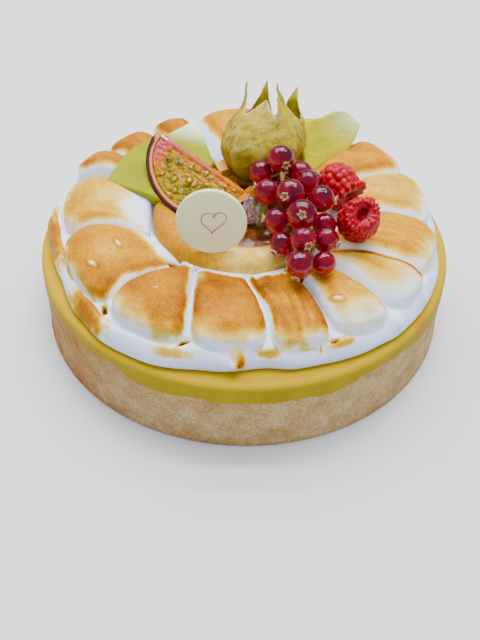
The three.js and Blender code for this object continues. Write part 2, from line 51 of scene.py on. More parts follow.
# The camera of the photograph
IMAGE_HEIGHT = 640
FOCAL_LENGTH_PX = 961
SENSOR = 36
CAMERA_AT = (0, -335.7, 307.5)
CAMERA_PITCH = math.radians(43.87)
CAMERA_ROLL = math.radians(-1.23)
CAMERA_YAW = math.radians(-0.22)


def make_camera():
    data = bpy.data.cameras.new("camera")
    data.sensor_width = SENSOR
    data.lens = FOCAL_LENGTH_PX / IMAGE_HEIGHT * SENSOR
    data.clip_start = 0.01
    forward = Vector((
        math.sin(CAMERA_YAW) * math.cos(CAMERA_PITCH),
        math.cos(CAMERA_YAW) * math.cos(CAMERA_PITCH),
        -math.sin(CAMERA_PITCH),
    ))
    right = Vector((math.cos(CAMERA_YAW), -math.sin(CAMERA_YAW), 0))
    down = forward.cross(right)
    axis_x = right * math.cos(CAMERA_ROLL) + down * math.sin(CAMERA_ROLL)
    axis_y = right * math.sin(CAMERA_ROLL) - down * math.cos(CAMERA_ROLL)
    camera = bpy.data.objects.new("camera", data)
    bpy.context.scene.collection.objects.link(camera)
    turn = Matrix((axis_x, axis_y, -forward)).transposed().to_4x4()
    camera.matrix_world = Matrix.Translation(Vector(CAMERA_AT) * MM) @ turn
    bpy.context.scene.camera = camera


make_camera()


# Helpers for shapes

def smooth(low, high, x):
    """A soft step from 0 at low to 1 at high."""
    t = np.clip((np.asarray(x, float) - low) / (high - low), 0, 1)
    return t * t * (3 - 2 * t)


def mix(a, b, t):
    return a + (b - a) * t


def round_curve(pairs):
    """A closed curve through [degrees, value] pairs, level at every pair, read in radians."""
    at, value = np.array(pairs, float).T
    at = np.concatenate([[at[-1] - 360], at, [at[0] + 360]])
    value = np.concatenate([[value[-1]], value, [value[0]]])

    def read(angle):
        degrees = np.degrees(angle) % 360
        i = np.clip(np.searchsorted(at, degrees, side="right") - 1, 0, len(at) - 2)
        t = smooth(0, 1, (degrees - at[i]) / (at[i + 1] - at[i]))
        return mix(value[i], value[i + 1], t)

    return read


def ripple(points, size, seed=0.0, octaves=3):
    """Fractal noise about 0, with lumps of the given size in millimetres, for an array of points."""
    flat = np.asarray(points, float).reshape(-1, 3) / size + seed
    values = [noise.fractal(Vector(p), 0.9, 2.0, octaves) for p in flat]
    return np.array(values).reshape(np.asarray(points).shape[:-1])


def polar(radius, angle, height):
    radius, angle, height = np.broadcast_arrays(radius, angle, height)
    return np.stack([radius * np.cos(angle), radius * np.sin(angle), height], axis=-1)


def unit(vectors):
    return vectors / np.linalg.norm(vectors, axis=-1, keepdims=True)


def full_turn(count):
    return np.linspace(0, 2 * np.pi, count, endpoint=False)


def across_axis(axis):
    """An axis as a unit vector, and two more at right angles to it."""
    up = unit(np.asarray(axis, float))
    side = unit(np.cross(up, (0.37, 0.81, -0.45)))
    return up, side, np.cross(up, side)


def hoop(turn, side, other):
    """Points of a circle of radius 1 about 0, in the plane of two vectors."""
    return np.cos(turn)[:, None] * side + np.sin(turn)[:, None] * other


def new_object(name, mesh):
    piece = bpy.data.objects.new(name, mesh)
    bpy.context.scene.collection.objects.link(piece)
    return piece


def new_mesh(name, points, edges=(), faces=()):
    """A mesh of points in millimetres."""
    mesh = bpy.data.meshes.new(name)
    mesh.from_pydata((np.asarray(points, float) * MM).tolist(), edges, faces)
    return mesh


def set_attribute(mesh, name, values, kind="FLOAT"):
    attribute = mesh.attributes.new(name, kind, "POINT")
    field = "vector" if kind == "FLOAT_VECTOR" else "value"
    attribute.data.foreach_set(field, np.asarray(values, np.float32).reshape(-1))


def skin(name, rows, attributes=None, looped=False):
    """A mesh over rows of points in millimetres; each row is a ring. Both ends close in a fan, or,
    when looped, the last row meets the first."""
    rows = np.asarray(rows, float)
    count, columns = rows.shape[:2]
    points = rows.reshape(-1, 3)
    faces = []
    for r in range(count if looped else count - 1):
        here, there = r * columns, (r + 1) % count * columns
        for c in range(columns):
            d = (c + 1) % columns
            faces.append((here + c, here + d, there + d, there + c))
    if not looped:
        points = np.concatenate([points, [rows[0].mean(0), rows[-1].mean(0)]])
        first, last, top = count * columns, count * columns + 1, (count - 1) * columns
        for c in range(columns):
            d = (c + 1) % columns
            faces += [(first, d, c), (last, top + c, top + d)]
    mesh = new_mesh(name, points, faces=faces)
    for key, values in (attributes or {}).items():
        values = np.asarray(values, float).reshape(count, columns)
        ends = [] if looped else [values[0].mean(), values[-1].mean()]
        set_attribute(mesh, key, np.append(values, ends))
    return new_object(name, face_out(mesh))


def face_out(mesh, merge=0.0):
    """Points the faces outwards, after doubles nearer than merge are joined, and shades smooth."""
    work = bmesh.new()
    work.from_mesh(mesh)
    if merge:
        bmesh.ops.remove_doubles(work, verts=work.verts, dist=merge)
    bmesh.ops.recalc_face_normals(work, faces=work.faces)
    work.to_mesh(mesh)
    work.free()
    mesh.polygons.foreach_set("use_smooth", [True] * len(mesh.polygons))
    return mesh


def positions(mesh):
    """A mesh's points in millimetres."""
    found = np.zeros(len(mesh.vertices) * 3)
    mesh.vertices.foreach_get("co", found)
    return found.reshape(-1, 3) / MM


def normals(mesh):
    found = np.zeros(len(mesh.vertices) * 3)
    mesh.vertices.foreach_get("normal", found)
    return found.reshape(-1, 3)


def move_points(mesh, points):
    mesh.vertices.foreach_set("co", (points * MM).reshape(-1))
    mesh.update()


def baked(piece):
    """Turns what a piece's modifiers make into its plain mesh and removes them."""
    evaluated = piece.evaluated_get(bpy.context.evaluated_depsgraph_get())
    mesh = bpy.data.meshes.new_from_object(evaluated)
    piece.modifiers.clear()
    piece.data = mesh
    return piece


def joined(name, pieces):
    """One piece from several meshes, each with its own materials."""
    work = bmesh.new()
    materials = []
    for piece in pieces:
        start = len(work.faces)
        work.from_mesh(piece.data)
        work.faces.ensure_lookup_table()
        for face in work.faces[start:]:
            material = piece.data.materials[face.material_index]
            if material not in materials:
                materials.append(material)
            face.material_index = materials.index(material)
            face.smooth = True
    mesh = bpy.data.meshes.new(name)
    work.to_mesh(mesh)
    work.free()
    for material in materials:
        mesh.materials.append(material)
    for piece in pieces:
        bpy.data.objects.remove(piece)
    return new_object(name, mesh)


def dressed(piece, material):
    """Gives a piece its only material."""
    piece.data.materials.clear()
    piece.data.materials.append(material)
    return piece


def finished(piece, node):
    """Lets a piece ride on the cake and stand for its node."""
    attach(piece, BODY)
    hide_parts(node)


def fused(piece, voxel, rounds):
    """Melts a piece's parts into one skin of small faces and softens its edges."""
    remesh = piece.modifiers.new("remesh", "REMESH")
    remesh.mode = "VOXEL"
    remesh.voxel_size = voxel * MM
    remesh.use_smooth_shade = True
    soften = piece.modifiers.new("soften", "SMOOTH")
    soften.factor = 0.5
    soften.iterations = rounds
    return baked(piece)


def solid_copy(node, name, voxel):
    """A finely meshed copy of a node's solid, with its sharp edges a little rounded."""
    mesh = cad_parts[node].data.copy()
    mesh.name = name
    mesh.materials.clear()
    return fused(new_object(name, face_out(mesh, merge=0.01 * MM)), voxel, 3)


# Helpers for materials

def colour(code):
    """A hex sRGB colour as linear RGBA."""
    parts = [int(code[i:i + 2], 16) / 255 for i in (0, 2, 4)]
    linear = [c / 12.92 if c <= 0.04045 else ((c + 0.055) / 1.055) ** 2.4 for c in parts]
    return (*linear, 1)


def add_node(tree, kind, settings=None, inputs=None, links=None, stops=None):
    """Adds a node with its properties, its unlinked inputs, what feeds it and a ramp's stops."""
    node = tree.nodes.new(kind)
    for key, value in (settings or {}).items():
        setattr(node, key, value)
    for key, value in (inputs or {}).items():
        node.inputs[key].default_value = value
    for key, source in (links or {}).items():
        tree.links.new(source, node.inputs[key])
    if stops:
        ramp = node.color_ramp
        while len(ramp.elements) < len(stops):
            ramp.elements.new(1)
        for element, (place, code) in zip(ramp.elements, stops):
            element.position = place
            element.color = colour(code)
    return node


# A Mix node's inputs and output for colours, by number
MIX_FACTOR, MIX_A, MIX_B, MIX_RESULT = 0, 6, 7, 2


def new_material(name, **shader):
    """A material whose shader sockets are set by name; returns it, its tree and its shader."""
    material = bpy.data.materials.new(name)
    material.use_nodes = True
    tree = material.node_tree
    principled = tree.nodes["Principled BSDF"]
    for key, value in shader.items():
        principled.inputs[key.replace("_", " ")].default_value = value
    return material, tree, principled


def object_noise(tree, size, detail=3, roughness=0.6):
    """Noise on Object coordinates whose lumps have the given size in millimetres."""
    where = add_node(tree, "ShaderNodeTexCoord")
    return add_node(
        tree, "ShaderNodeTexNoise",
        inputs={"Scale": 1 / (size * MM), "Detail": detail, "Roughness": roughness},
        links={"Vector": where.outputs["Object"]},
    ).outputs["Fac"]


def add_relief(tree, principled, height, depth):
    """Relief of the given depth in millimetres from a height between 0 and 1."""
    bump = add_node(
        tree, "ShaderNodeBump", inputs={"Strength": 1, "Distance": depth * MM}, links={"Height": height},
    )
    tree.links.new(bump.outputs["Normal"], principled.inputs["Normal"])


def signal(tree, source):
    """A socket from an attribute's name, from a noise's size, detail and roughness, or as it is."""
    if isinstance(source, str):
        return add_node(tree, "ShaderNodeAttribute", {"attribute_name": source}).outputs["Fac"]
    return object_noise(tree, *source) if isinstance(source, tuple) else source


def paint(tree, principled, *layers):
    """Lays colours over each other. A layer has what runs it and its tones, and all but the first
    have how it blends and how much: a number or a signal. Nothing runs a layer of one tone, and a
    layer without tones is a colour socket."""
    below = None
    for source, tones, *over in layers:
        inputs, links = {}, {MIX_A: below}
        if source is None:
            inputs[MIX_B] = colour(tones)
        elif tones is None:
            links[MIX_B] = source
        else:
            ramp = add_node(tree, "ShaderNodeValToRGB", links={"Fac": signal(tree, source)}, stops=tones)
            links[MIX_B] = ramp.outputs["Color"]
        if not over:
            below = links[MIX_B]
            continue
        blend, amount = over
        if isinstance(amount, (int, float)):
            inputs[MIX_FACTOR] = amount
        else:
            links[MIX_FACTOR] = signal(tree, amount)
        mixed = add_node(tree, "ShaderNodeMix", {"data_type": "RGBA", "blend_type": blend}, inputs, links)
        below = mixed.outputs[MIX_RESULT]
    tree.links.new(below, principled.inputs["Base Color"])


def painted(name, layers, relief=None, **shader):
    """A material of painted layers; relief is its depth in millimetres and its noise."""
    material, tree, principled = new_material(name, **shader)
    paint(tree, principled, *layers)
    if relief:
        depth, *grain = relief
        add_relief(tree, principled, object_noise(tree, *grain), depth)
    return material


# The biscuit crust, up to the uneven line where the mango layer was poured onto it

CAKE_RADIUS = 90
CAKE_COLUMNS = 540
LAYER_TOP = 35
SHOULDER = 2.2
GAP = 0.3

pour_line = round_curve([
    (12, 26.2), (30, 27.6), (52, 25.2), (70, 26.8), (88, 25.8), (104, 27.9), (125, 25.4),
    (146, 26.6), (163, 25.3), (184, 27.2), (200, 26.1), (219, 28.5), (228, 27.8), (235, 30.2),
    (242, 25.6), (250, 25), (259, 27), (263, 25.6), (276, 25.6), (285, 26.3), (293, 25.1),
    (303, 28.4), (312, 28.6), (331, 24.8), (350, 26.6),
])
around = full_turn(CAKE_COLUMNS)


def biscuit():
    """Baked biscuit: matt and sandy, beige with paler crumbs, faint browner patches and freckles."""
    return painted(
        "biscuit", [
            ((7, 5), [(0.3, "CCA45C"), (0.46, "D8B878"), (0.6, "E3C98C"), (0.75, "ECD6A2")]),
            ((0.75, 6, 0.9), [(0.38, "7E6A52"), (0.49, "DDD4C6"), (0.6, "FFFFFF")], "MULTIPLY", 0.85),
            ((2.4, 5, 0.75), [(0.7, "FFFFFF"), (0.76, "8A6446")], "MULTIPLY", 0.8),
            (None, "E6A238", "MULTIPLY", "baked"),
        ],
        relief=(0.35, 0.7, 5, 0.7), Roughness=0.8, Specular_IOR_Level=0.3,
    )


def make_crust():
    line = pour_line(around)
    rows = [polar(CAKE_RADIUS - 0.8, around, 0), polar(CAKE_RADIUS - 0.3, around, 0.3)]
    for part in np.linspace(0, 1, 57):
        height = mix(0.8, line - 0.7, part)
        inset = 0.5 * smooth(0, 5, height)
        flat = polar(CAKE_RADIUS - inset, around, height)
        pits = np.maximum(0, ripple(flat, 4.5, seed=7.3) - 0.32)
        dent = np.clip(0.12 - 0.16 * ripple(flat, 1.6) + 1.1 * pits, 0, 1.2)
        rows.append(polar(CAKE_RADIUS - inset - dent, around, height))
    rows.append(polar(CAKE_RADIUS - 1.1, around, line))
    rows = np.array(rows)
    leftness = smooth(42, 80, -rows[..., 0])
    lip = 1 - smooth(0, 3.5, rows[..., 2])
    blotches = ripple(rows, 22, seed=3.1, octaves=2)
    baked_more = np.clip(0.1 + 0.62 * leftness + 0.35 * lip + 0.35 * blotches, 0, 1)
    crust = skin("biscuit_crust", rows, {"baked": baked_more})
    finished(dressed(crust, biscuit()), "crust")


# The mango layer, a set cream with a soft rounded shoulder and one faint amber spot

AMBER_SPOT = (73.4, -51, 34.6)


def mango_cream():
    """Set mango cream: smooth and yellow, with tiny pores and faint clouds, and a painted highlight that
    makes it paler at the rim and top.
    """
    return painted(
        "mango cream", [
            ((14, 4), [(0.3, "9A7F00"), (0.5, "A68900"), (0.72, "B29400")]),
            # Painted highlight: a paler yellow over the rim and top, where the light falls.
            (None, "C8A000", "MIX", "rim"),
            (None, "B97A08", "MIX", "amber"),
        ],
        relief=(0.06, 0.9), Roughness=0.5, Specular_IOR_Level=0.06,
        Subsurface_Weight=0.04, Subsurface_Radius=(0.003, 0.002, 0.0004),
    )


def make_mango_layer():
    line = pour_line(around)
    rows = [polar(CAKE_RADIUS - 1.1, around, line + GAP), polar(CAKE_RADIUS - 0.3, around, line + GAP)]
    for part in np.linspace(0, 1, 23):
        height = mix(line + GAP + 0.2, LAYER_TOP - SHOULDER, part)
        bulge = 0.1 * (1 - part) + 0.25 * np.sin(np.pi * part)
        wave = 0.25 + 0.3 * ripple(polar(CAKE_RADIUS, around, height), 9, seed=1.7)
        rows.append(polar(CAKE_RADIUS - bulge * np.clip(wave, 0, 1), around, height))
    for turn in np.linspace(0, math.pi / 2, 13)[1:]:
        height = LAYER_TOP - SHOULDER + SHOULDER * math.sin(turn)
        rows.append(polar(CAKE_RADIUS - 2.4 * (1 - math.cos(turn)), around, height))
    for radius in (86, 84, 82, 79, 74, 60, 30):
        flat = polar(radius, around, LAYER_TOP)
        rows.append(flat - 0.15 * np.abs(ripple(flat, 12, seed=5.0))[..., None] * UP)
    rows = np.array(rows)
    from_spot = rows - AMBER_SPOT + 0.8 * ripple(rows, 4)[..., None]
    amber = 0.6 * (1 - smooth(1.5, 5.5, np.linalg.norm(from_spot, axis=-1)))
    # Painted highlight: the top and the upper shoulder are marked to be painted paler, as lit from above.
    rim = 0.7 * smooth(LAYER_TOP - 3, LAYER_TOP - 0.6, rows[..., 2])
    layer = skin("mango_cream_layer", rows, {"amber": amber, "rim": rim})
    finished(dressed(layer, mango_cream()), "mango_layer")


# The meringue: fifteen piped petals over a bulging skirt, toasted from above

PETAL_INNER = 41
PETAL_OUTER = 80
TIP_LENGTH = 15
FLOOR_TOP = 41
GROOVE_TOP = 46.3
SKIRT_TOP = 43.5
RING_CENTRE = (-2.5, 1.5)
RING_RADIUS = 31.6
RING_HALF_WIDTH = 6.8
RING_TOP = 52
RING_UNEVEN = 0.5
COLUMNS_PER_PETAL = 44
PETAL_ROWS = 74
SKIRT_ROWS = 22
SKIRT_RADIUS = 85
SKIRT_INSET = 3.4

# A petal starts at a groove, given by its angle at the inner end, in the middle and at the outer
# end, and stops at the next petal's groove. The other pairs are for its low and high side: the
# tip's radius, how square that edge is, how far the toast fades at the outer end, and how dark
# the scorched line along that edge is. White and fade are widths in millimetres of the white edge
# and of its fading on the low side, the high side and the inner end. Brown is how far the petal
# is toasted, and streaks how much the toast follows the piping.
PETALS = [
    dict(groove=(162, 159, 162), tips=(83, 77.5), crest=54.5, lean=-0.1, sharp=(3, 3),
         white=(0.8, 1, 2), fade=(2.4, 3, 14), outer=(2, 3), line=(0, 0.3), brown=0.33, streaks=0.25),
    dict(groove=(203, 190, 194), tips=(80, 80), crest=53.5, lean=-0.1, sharp=(6, 3.6),
         white=(0.2, 1.2, 2), fade=(0.7, 2.4, 6), outer=(0.8, 2), line=(0.5, 0), brown=0.45, streaks=0.15),
    dict(groove=(235, 225, 227), tips=(81, 80), crest=53.5, lean=0, sharp=(5, 4),
         white=(0.3, 0.9, 0.6), fade=(0.7, 1.8, 1.4), outer=(9, 2.5), line=(0.5, 0), brown=0.56,
         streaks=0.08),
    dict(groove=(241, 250, 254), tips=(78.5, 79), crest=53.5, lean=0.05, sharp=(4.5, 4.5),
         white=(0.7, 0.8, 1.2), fade=(1.4, 1, 1.6), outer=(8, 2.5), line=(0, 0), brown=0.62, streaks=0.1),
    dict(groove=(272, 278, 277), tips=(79, 80.5), crest=52.5, lean=0, sharp=(4.5, 6),
         white=(0.6, 0.1, 2), fade=(1.4, 0.6, 2), outer=(6, 2), line=(0.2, 0.9), brown=0.61, streaks=0.6),
    dict(groove=(300, 298.5, 296.5), tips=(79.5, 84), crest=53, lean=-0.05, sharp=(2.4, 5),
         white=(0.8, 0.2, 1.5), fade=(5, 1, 3), outer=(14, 9), line=(0, 0.8), brown=0.39, streaks=0.35),
    dict(groove=(316.5, 316.7, 316.8), tips=(83, 84.5), crest=53.5, lean=0.25, sharp=(2.2, 7),
         white=(1.2, 0.1, 1.5), fade=(9, 0.6, 3), outer=(14, 3), line=(0, 1.5), brown=0.32, streaks=0.35),
    dict(groove=(328.5, 332.4, 334), tips=(83, 83.5), crest=53.5, lean=0.25, sharp=(2.4, 7),
         white=(3, 0.2, 1), fade=(6, 0.8, 2), outer=(10, 2), line=(0, 0.9), brown=0.38, streaks=0.5),
    dict(groove=(362, 361, 356), tips=(82, 82.5), crest=54.5, lean=0.2, sharp=(2.8, 6),
         white=(2, 0.3, 2), fade=(5, 1, 4), outer=(8, 2), line=(0, 0.6), brown=0.3, streaks=0.45),
    dict(groove=(388, 385, 384), tips=(83, 83.5), crest=55, lean=0.1, sharp=(3, 5),
         white=(2, 0.5, 2), fade=(4, 1.5, 4), outer=(7, 3), line=(0, 0.25), brown=0.46, streaks=0.2),
    dict(groove=(410, 408, 407), tips=(83.5, 83.5), crest=56, lean=0, sharp=(3.2, 3.6),
         white=(2, 1, 2), fade=(4, 3, 4), outer=(6, 4), line=(0, 0), brown=0.44, streaks=0.2),
    dict(groove=(436, 434, 434), tips=(82.5, 82), crest=57, lean=0, sharp=(3.2, 3.2),
         white=(2, 2, 2), fade=(4, 4, 4), outer=(5, 5), line=(0, 0), brown=0.42, streaks=0.15),
    dict(groove=(466, 470, 471), tips=(82, 82), crest=56, lean=0, sharp=(3.2, 3.2),
         white=(1, 1.2, 2), fade=(3, 3, 4), outer=(3, 3), line=(0, 0), brown=0.58, streaks=0.15),
    dict(groove=(487, 487, 487), tips=(82.5, 83), crest=55, lean=0, sharp=(3.2, 3.2),
         white=(1.2, 1.2, 2), fade=(3, 3, 4), outer=(3, 3), line=(0, 0.2), brown=0.6, streaks=0.2),
    dict(groove=(506, 506, 506), tips=(84, 84.5), crest=56, lean=0, sharp=(3.2, 3.2),
         white=(1, 2, 2), fade=(3, 4, 4), outer=(3, 3), line=(0.2, 0), brown=0.5, streaks=0.3),
]

skirt_edge = round_curve([
    (10, 86.2), (30, 87.4), (50, 87.6), (75, 86), (95, 85.5), (120, 86), (140, 86.8), (160, 88.2),
    (178, 88.4), (187, 85.8), (204, 83.6), (219, 86.2), (232, 88), (244, 87.3), (262, 83.4),
    (276, 80.9), (286, 83.2), (308, 85.9), (317, 87.2), (332, 86.9), (340, 86.6), (354, 85.2),
])

# How far the scorched lines run from the groove at a petal's low and high side
LINE_FROM_EDGE = (2.2, 3.4)

# Where the petals are toasted more or less than the rest: x, y, radius and how much more
TOAST_PATCHES = [
    (-66, -24, 6, 0.1), (-56, -31, 6, -0.2), (-54, -45, 8, 0.22), (-44, -22, 6, 0.16),
    (-42, -51, 6, 0.16), (-34, -52, 7, -0.1), (-26, -61, 7, 0.14), (-24, -44, 5, 0.16),
    (-33, -36, 5, 0.14), (-19, -42, 3.4, -1), (-20.5, -47.5, 2.4, -0.7), (-12, -48, 6, 0.24),
    (-17, -62, 7, -0.05), (-11, -57, 5, 0.1), (1, -54, 7, -0.06), (-4, -70, 8, -0.25), (9, -48, 5, 0.2),
    (14, -57, 6, -0.2), (23, -70, 6, -0.15), (26, -58, 6, 0.16), (28, -68, 6, 0.1), (33, -45, 6, 0.2),
    (41, -60, 8, -0.25), (50, -39, 6, 0.1), (64, -38, 9, -0.3), (57, -24, 7, -0.2),
    (70, -8, 9, 0.15), (-70, -2, 8, 0.1), (-58, 4, 9, -0.3), (50, -12, 7, 0.1), (-72, 6, 7, 0.1),
]

# Toasted patches on the skirt: angle and half width in degrees, height and half height, brown
SKIRT_PATCHES = [
    (187, 13, 43, 8, 0.54), (222, 9.5, 43, 8, 0.58), (251, 7, 42.4, 1.8, 0.26),
    (277, 4.4, 42.8, 1.7, 0.34), (298, 4.4, 43.2, 1.4, 0.34), (352, 4, 43, 2, 0.3),
    (30, 6, 42.5, 3, 0.4), (62, 5, 43, 3, 0.4), (98, 7, 42.5, 3.5, 0.45), (137, 8, 43, 3.5, 0.5),
]

# Folds of the skirt: angle, height, half width and half height in millimetres, how far it stands
# out and how brown its tip is
SKIRT_FOLDS = [
    (268.2, 41.8, 3, 3, 4.2, 0.8), (264.5, 41.6, 2, 2.4, 1.2, 0), (280, 41, 5, 2.5, 0.6, 0),
    (291.5, 43, 1.2, 1.6, 1.6, 0.5), (317, 42.4, 2, 2.2, 1.8, 0), (330, 42.2, 2, 2.2, 1.7, 0.2),
    (342, 42, 2.4, 2.4, 1, 0), (308, 40.5, 6, 2.5, 0.6, 0),
    (205, 41, 5, 2.5, 0.5, 0), (72, 41.5, 3, 3, 1, 0), (118, 41.5, 4, 3, 0.9, 0.2),
    (155, 41.5, 3, 2.6, 1, 0),
]

# Crevices where petals meet, dug in and darkened with painted shade: x, y, the turn of their long side
# in degrees, half their length and depth
CREVICES = [
    (-41.5, -14.9, 160, 2.6, 2.6), (-29, -34.2, 175, 3, 2.6), (-55.4, -56.4, 100, 3, 3.6),
    (-22.4, -74.5, 10, 3, 3.4), (35.9, -71.9, 20, 2, 3), (22.6, -38.5, 130, 3.4, 3),
]

# Burst bubbles on the crests: x, y, the turn of their long side in degrees and half their length
BLISTERS = [
    (37.3, -56.7, -20, 2.4), (-52.6, -26.7, -60, 2.2), (-34.6, -54, 10, 1.2), (-61.8, -39.1, -40, 2.6),
]


def hollow_edge(angle):
    """How far the ring's hollow in the meringue reaches from the cake's middle."""
    reach = RING_RADIUS + RING_HALF_WIDTH + RING_UNEVEN + 0.5
    along = RING_CENTRE[0] * np.cos(angle) + RING_CENTRE[1] * np.sin(angle)
    return along + np.sqrt(reach ** 2 - np.dot(RING_CENTRE, RING_CENTRE) + along ** 2)


def groove_angle(groove, radius):
    """The angle at which a groove crosses a radius, on a curve through its three angles."""
    part = np.clip((radius - PETAL_INNER) / (PETAL_OUTER - PETAL_INNER), 0, 1)
    inner, middle, outer = groove
    bend = 4 * (middle - (inner + outer) / 2) * part * (1 - part)
    return np.radians(mix(inner, outer, part) + bend)


class Columns:
    """Every column of the meringue, with its petal's values spread out as arrays."""

    def __init__(self):
        def spread_out(key, petals=PETALS):
            return np.repeat([petal[key] for petal in petals], COLUMNS_PER_PETAL, axis=0).T

        steps = np.arange(COLUMNS_PER_PETAL) / COLUMNS_PER_PETAL
        self.across = np.tile(-np.cos(np.pi * steps), len(PETALS))
        self.side = (self.across + 1) / 2
        low_side = self.across < 0
        self.number = np.repeat(np.arange(len(PETALS)), COLUMNS_PER_PETAL)
        first_again = dict(PETALS[0], groove=tuple(a + 360 for a in PETALS[0]["groove"]))
        self.next_groove = spread_out("groove", PETALS[1:] + [first_again])
        for key in ("groove", "crest", "lean", "brown", "streaks", "white", "fade"):
            setattr(self, key, spread_out(key))
        for key in ("tips", "outer"):
            setattr(self, key, mix(*spread_out(key), self.side))
        for key in ("sharp", "line"):
            setattr(self, key, np.where(low_side, *spread_out(key)))
        self.line_place = np.where(low_side, *LINE_FROM_EDGE)
        self.outermost = self.angle(CAKE_RADIUS)

    def angle(self, radius):
        """The angle at which each column crosses a radius."""
        return mix(groove_angle(self.groove, radius), groove_angle(self.next_groove, radius), self.side)

    def half_width(self, radius):
        """Half a petal's width at a radius, in millimetres."""
        span = groove_angle(self.next_groove, radius) - groove_angle(self.groove, radius)
        return span / 2 * radius

    def rim(self):
        """The radius at which each column's petal ends."""
        rounded = np.maximum(0, 1 - self.spread(75) ** self.sharp) ** (1 / 3)
        return self.tips + TIP_LENGTH * (rounded - 1)

    def spread(self, radius):
        """The place across the petal, from 0 in its middle to 1 where its narrow groove begins."""
        groove = np.clip(0.45 / self.half_width(radius), 0, 0.3)
        return np.minimum(1, np.abs(self.across) / (1 - groove))

    def from_edge(self, radius):
        """The distance in millimetres to the nearer groove."""
        return (1 - np.abs(self.across)) * self.half_width(radius)

    def overhang(self, radius):
        """How far the petals' round ends bulge out over the crease at the skirt."""
        inside = self.rim() - radius
        return 1.1 * np.exp(-((inside - 1.5) / 1.1) ** 2) * smooth(66, 74, radius)

    def height(self, radius):
        """Each petal's dome over its ground, with a crease and a swell where the skirt begins."""
        outward = np.maximum(0, (radius - self.tips) / TIP_LENGTH + 1)
        inward = smooth(PETAL_INNER - 6, 62, radius)
        dome = np.maximum(0, 1 - self.spread(radius) ** self.sharp - outward ** 3) ** 0.5
        ground = mix(GROOVE_TOP, SKIRT_TOP, smooth(66, 84, radius))
        crease = np.exp(-((radius - self.rim() - 0.3) / 0.9) ** 2) * smooth(60, 70, radius)
        swell = smooth(0.5, 2.5, radius - self.rim()) * smooth(72, 80, radius)
        rise = (self.crest - ground) * mix(0.35, 1, inward)
        lip = self.line * np.exp(-((self.from_edge(radius) - self.line_place + 1) / 0.7) ** 2) * (dome > 0)
        domed = rise * dome * (1 + self.lean * self.across)
        return ground - 1.6 * crease + 0.5 * swell + 0.4 * lip + domed

    def toast(self, radius, points):
        """How brown the petals are, from how far each point is from its petal's edges."""
        half = self.half_width(radius)
        sideways = self.across * half + 40 * self.number
        streak = ripple(np.stack([sideways, radius * 0.14 + 0 * half, 0 * half], axis=-1), 2.2, seed=3.0)
        streak = streak * self.streaks
        wander = ripple(points, 9, seed=11.0)
        inside = self.rim() - radius
        low = (1 + self.across) * half + wander * np.where(self.white[0] < 0.5, 0.1, 0.9)
        high = (1 - self.across) * half + wander * np.where(self.white[1] < 0.5, 0.1, 0.9)
        start = radius - hollow_edge(self.angle(radius)) - 2 + wander * 1.5 + 2.5 * streak
        end = inside + wander * 2
        brown = mix(1, smooth(-0.5, 1.25 * self.outer + 1, end), 0.85) * smooth(-1.2, 1.2, end)
        for white, fade, distance in zip(self.white, self.fade, (low, high, start)):
            brown = brown * smooth(white, white + fade, distance)
        broken = 0.8 + 0.6 * ripple(points, 12, seed=21.0, octaves=2)
        thin = 0.5 + 0.25 * broken
        scorch = self.line * np.exp(-((self.from_edge(radius) - self.line_place) / thin) ** 2)
        scorch *= smooth(0.2, 3, inside) * smooth(0, 5, start + 2) * np.clip(broken, 0.5, 1)
        fullest = np.minimum(low - self.white[0] - self.fade[0], high - self.white[1] - self.fade[1])
        uneven = 0.93 + 0.16 * wander + 0.5 * streak + 0.1 * ripple(points, 3, seed=31.0)
        uneven += 0.22 * np.exp(-((fullest - 0.3) / 1.8) ** 2)
        for x, y, reach, more in TOAST_PATCHES:
            uneven = uneven + more * bump_at(points, x, y, reach)
        return np.maximum(self.brown * brown * uneven, 0.62 * scorch)


def bump_at(points, x, y, radius):
    """A round bump about a place, 1 at its middle and 0 beyond about twice its radius."""
    far = np.hypot(points[..., 0] - x, points[..., 1] - y)
    return np.exp(-(far / radius) ** 2)


def turned_about(points, x, y, turn):
    """How far points lie along and across a line through a place, turned by so many degrees."""
    c, s = math.cos(math.radians(turn)), math.sin(math.radians(turn))
    dx, dy = points[..., 0] - x, points[..., 1] - y
    return dx * c + dy * s, dy * c - dx * s


def degrees_from(start, degrees):
    """How far directions lie from a start, from -180 to 180 degrees."""
    return (degrees - start + 180) % 360 - 180


def toasted_meringue():
    """Torched meringue: satin and a little translucent, white tinted blue as painted bluish shade and cool
    light, then gold to dark brown crests.
    """
    material, tree, shader = new_material(
        "torched meringue", Roughness=0.5, Specular_IOR_Level=0.06,
        Subsurface_Weight=0.06, Subsurface_Radius=(0.003, 0.002, 0.0014),
    )
    # The toast attribute also carries painted shade in the crevices.
    toast = signal(tree, "toast")
    mottled = add_node(
        tree, "ShaderNodeMath", {"operation": "MULTIPLY_ADD"}, {1: 2, 2: -1},
        {0: object_noise(tree, 0.6, 6, 0.9)},
    ).outputs[0]
    strength = add_node(
        tree, "ShaderNodeMath", {"operation": "MULTIPLY", "use_clamp": True}, {1: 1.6}, {0: toast},
    ).outputs[0]
    toned = add_node(
        tree, "ShaderNodeMath", {"operation": "MULTIPLY_ADD"}, None, {0: mottled, 1: strength, 2: toast},
    ).outputs[0]
    browning = [
        # The first stop's blue tint is painted bluish shade and cool light on the white meringue.
        (0, "E0EBFF"), (0.06, "F2EEDA"), (0.17, "E8C456"), (0.34, "D09200"),
        (0.52, "B26C00"), (0.7, "965400"), (1, "321604"),
    ]
    specks = [(0.66, "FFFFFF"), (0.74, "B07838")]
    paint(tree, shader, (toned, browning), ((1.3, 2, 0.8), specks, "MULTIPLY", strength))
    add_relief(tree, shader, object_noise(tree, 0.7, 4, 0.65), 0.05)
    return material


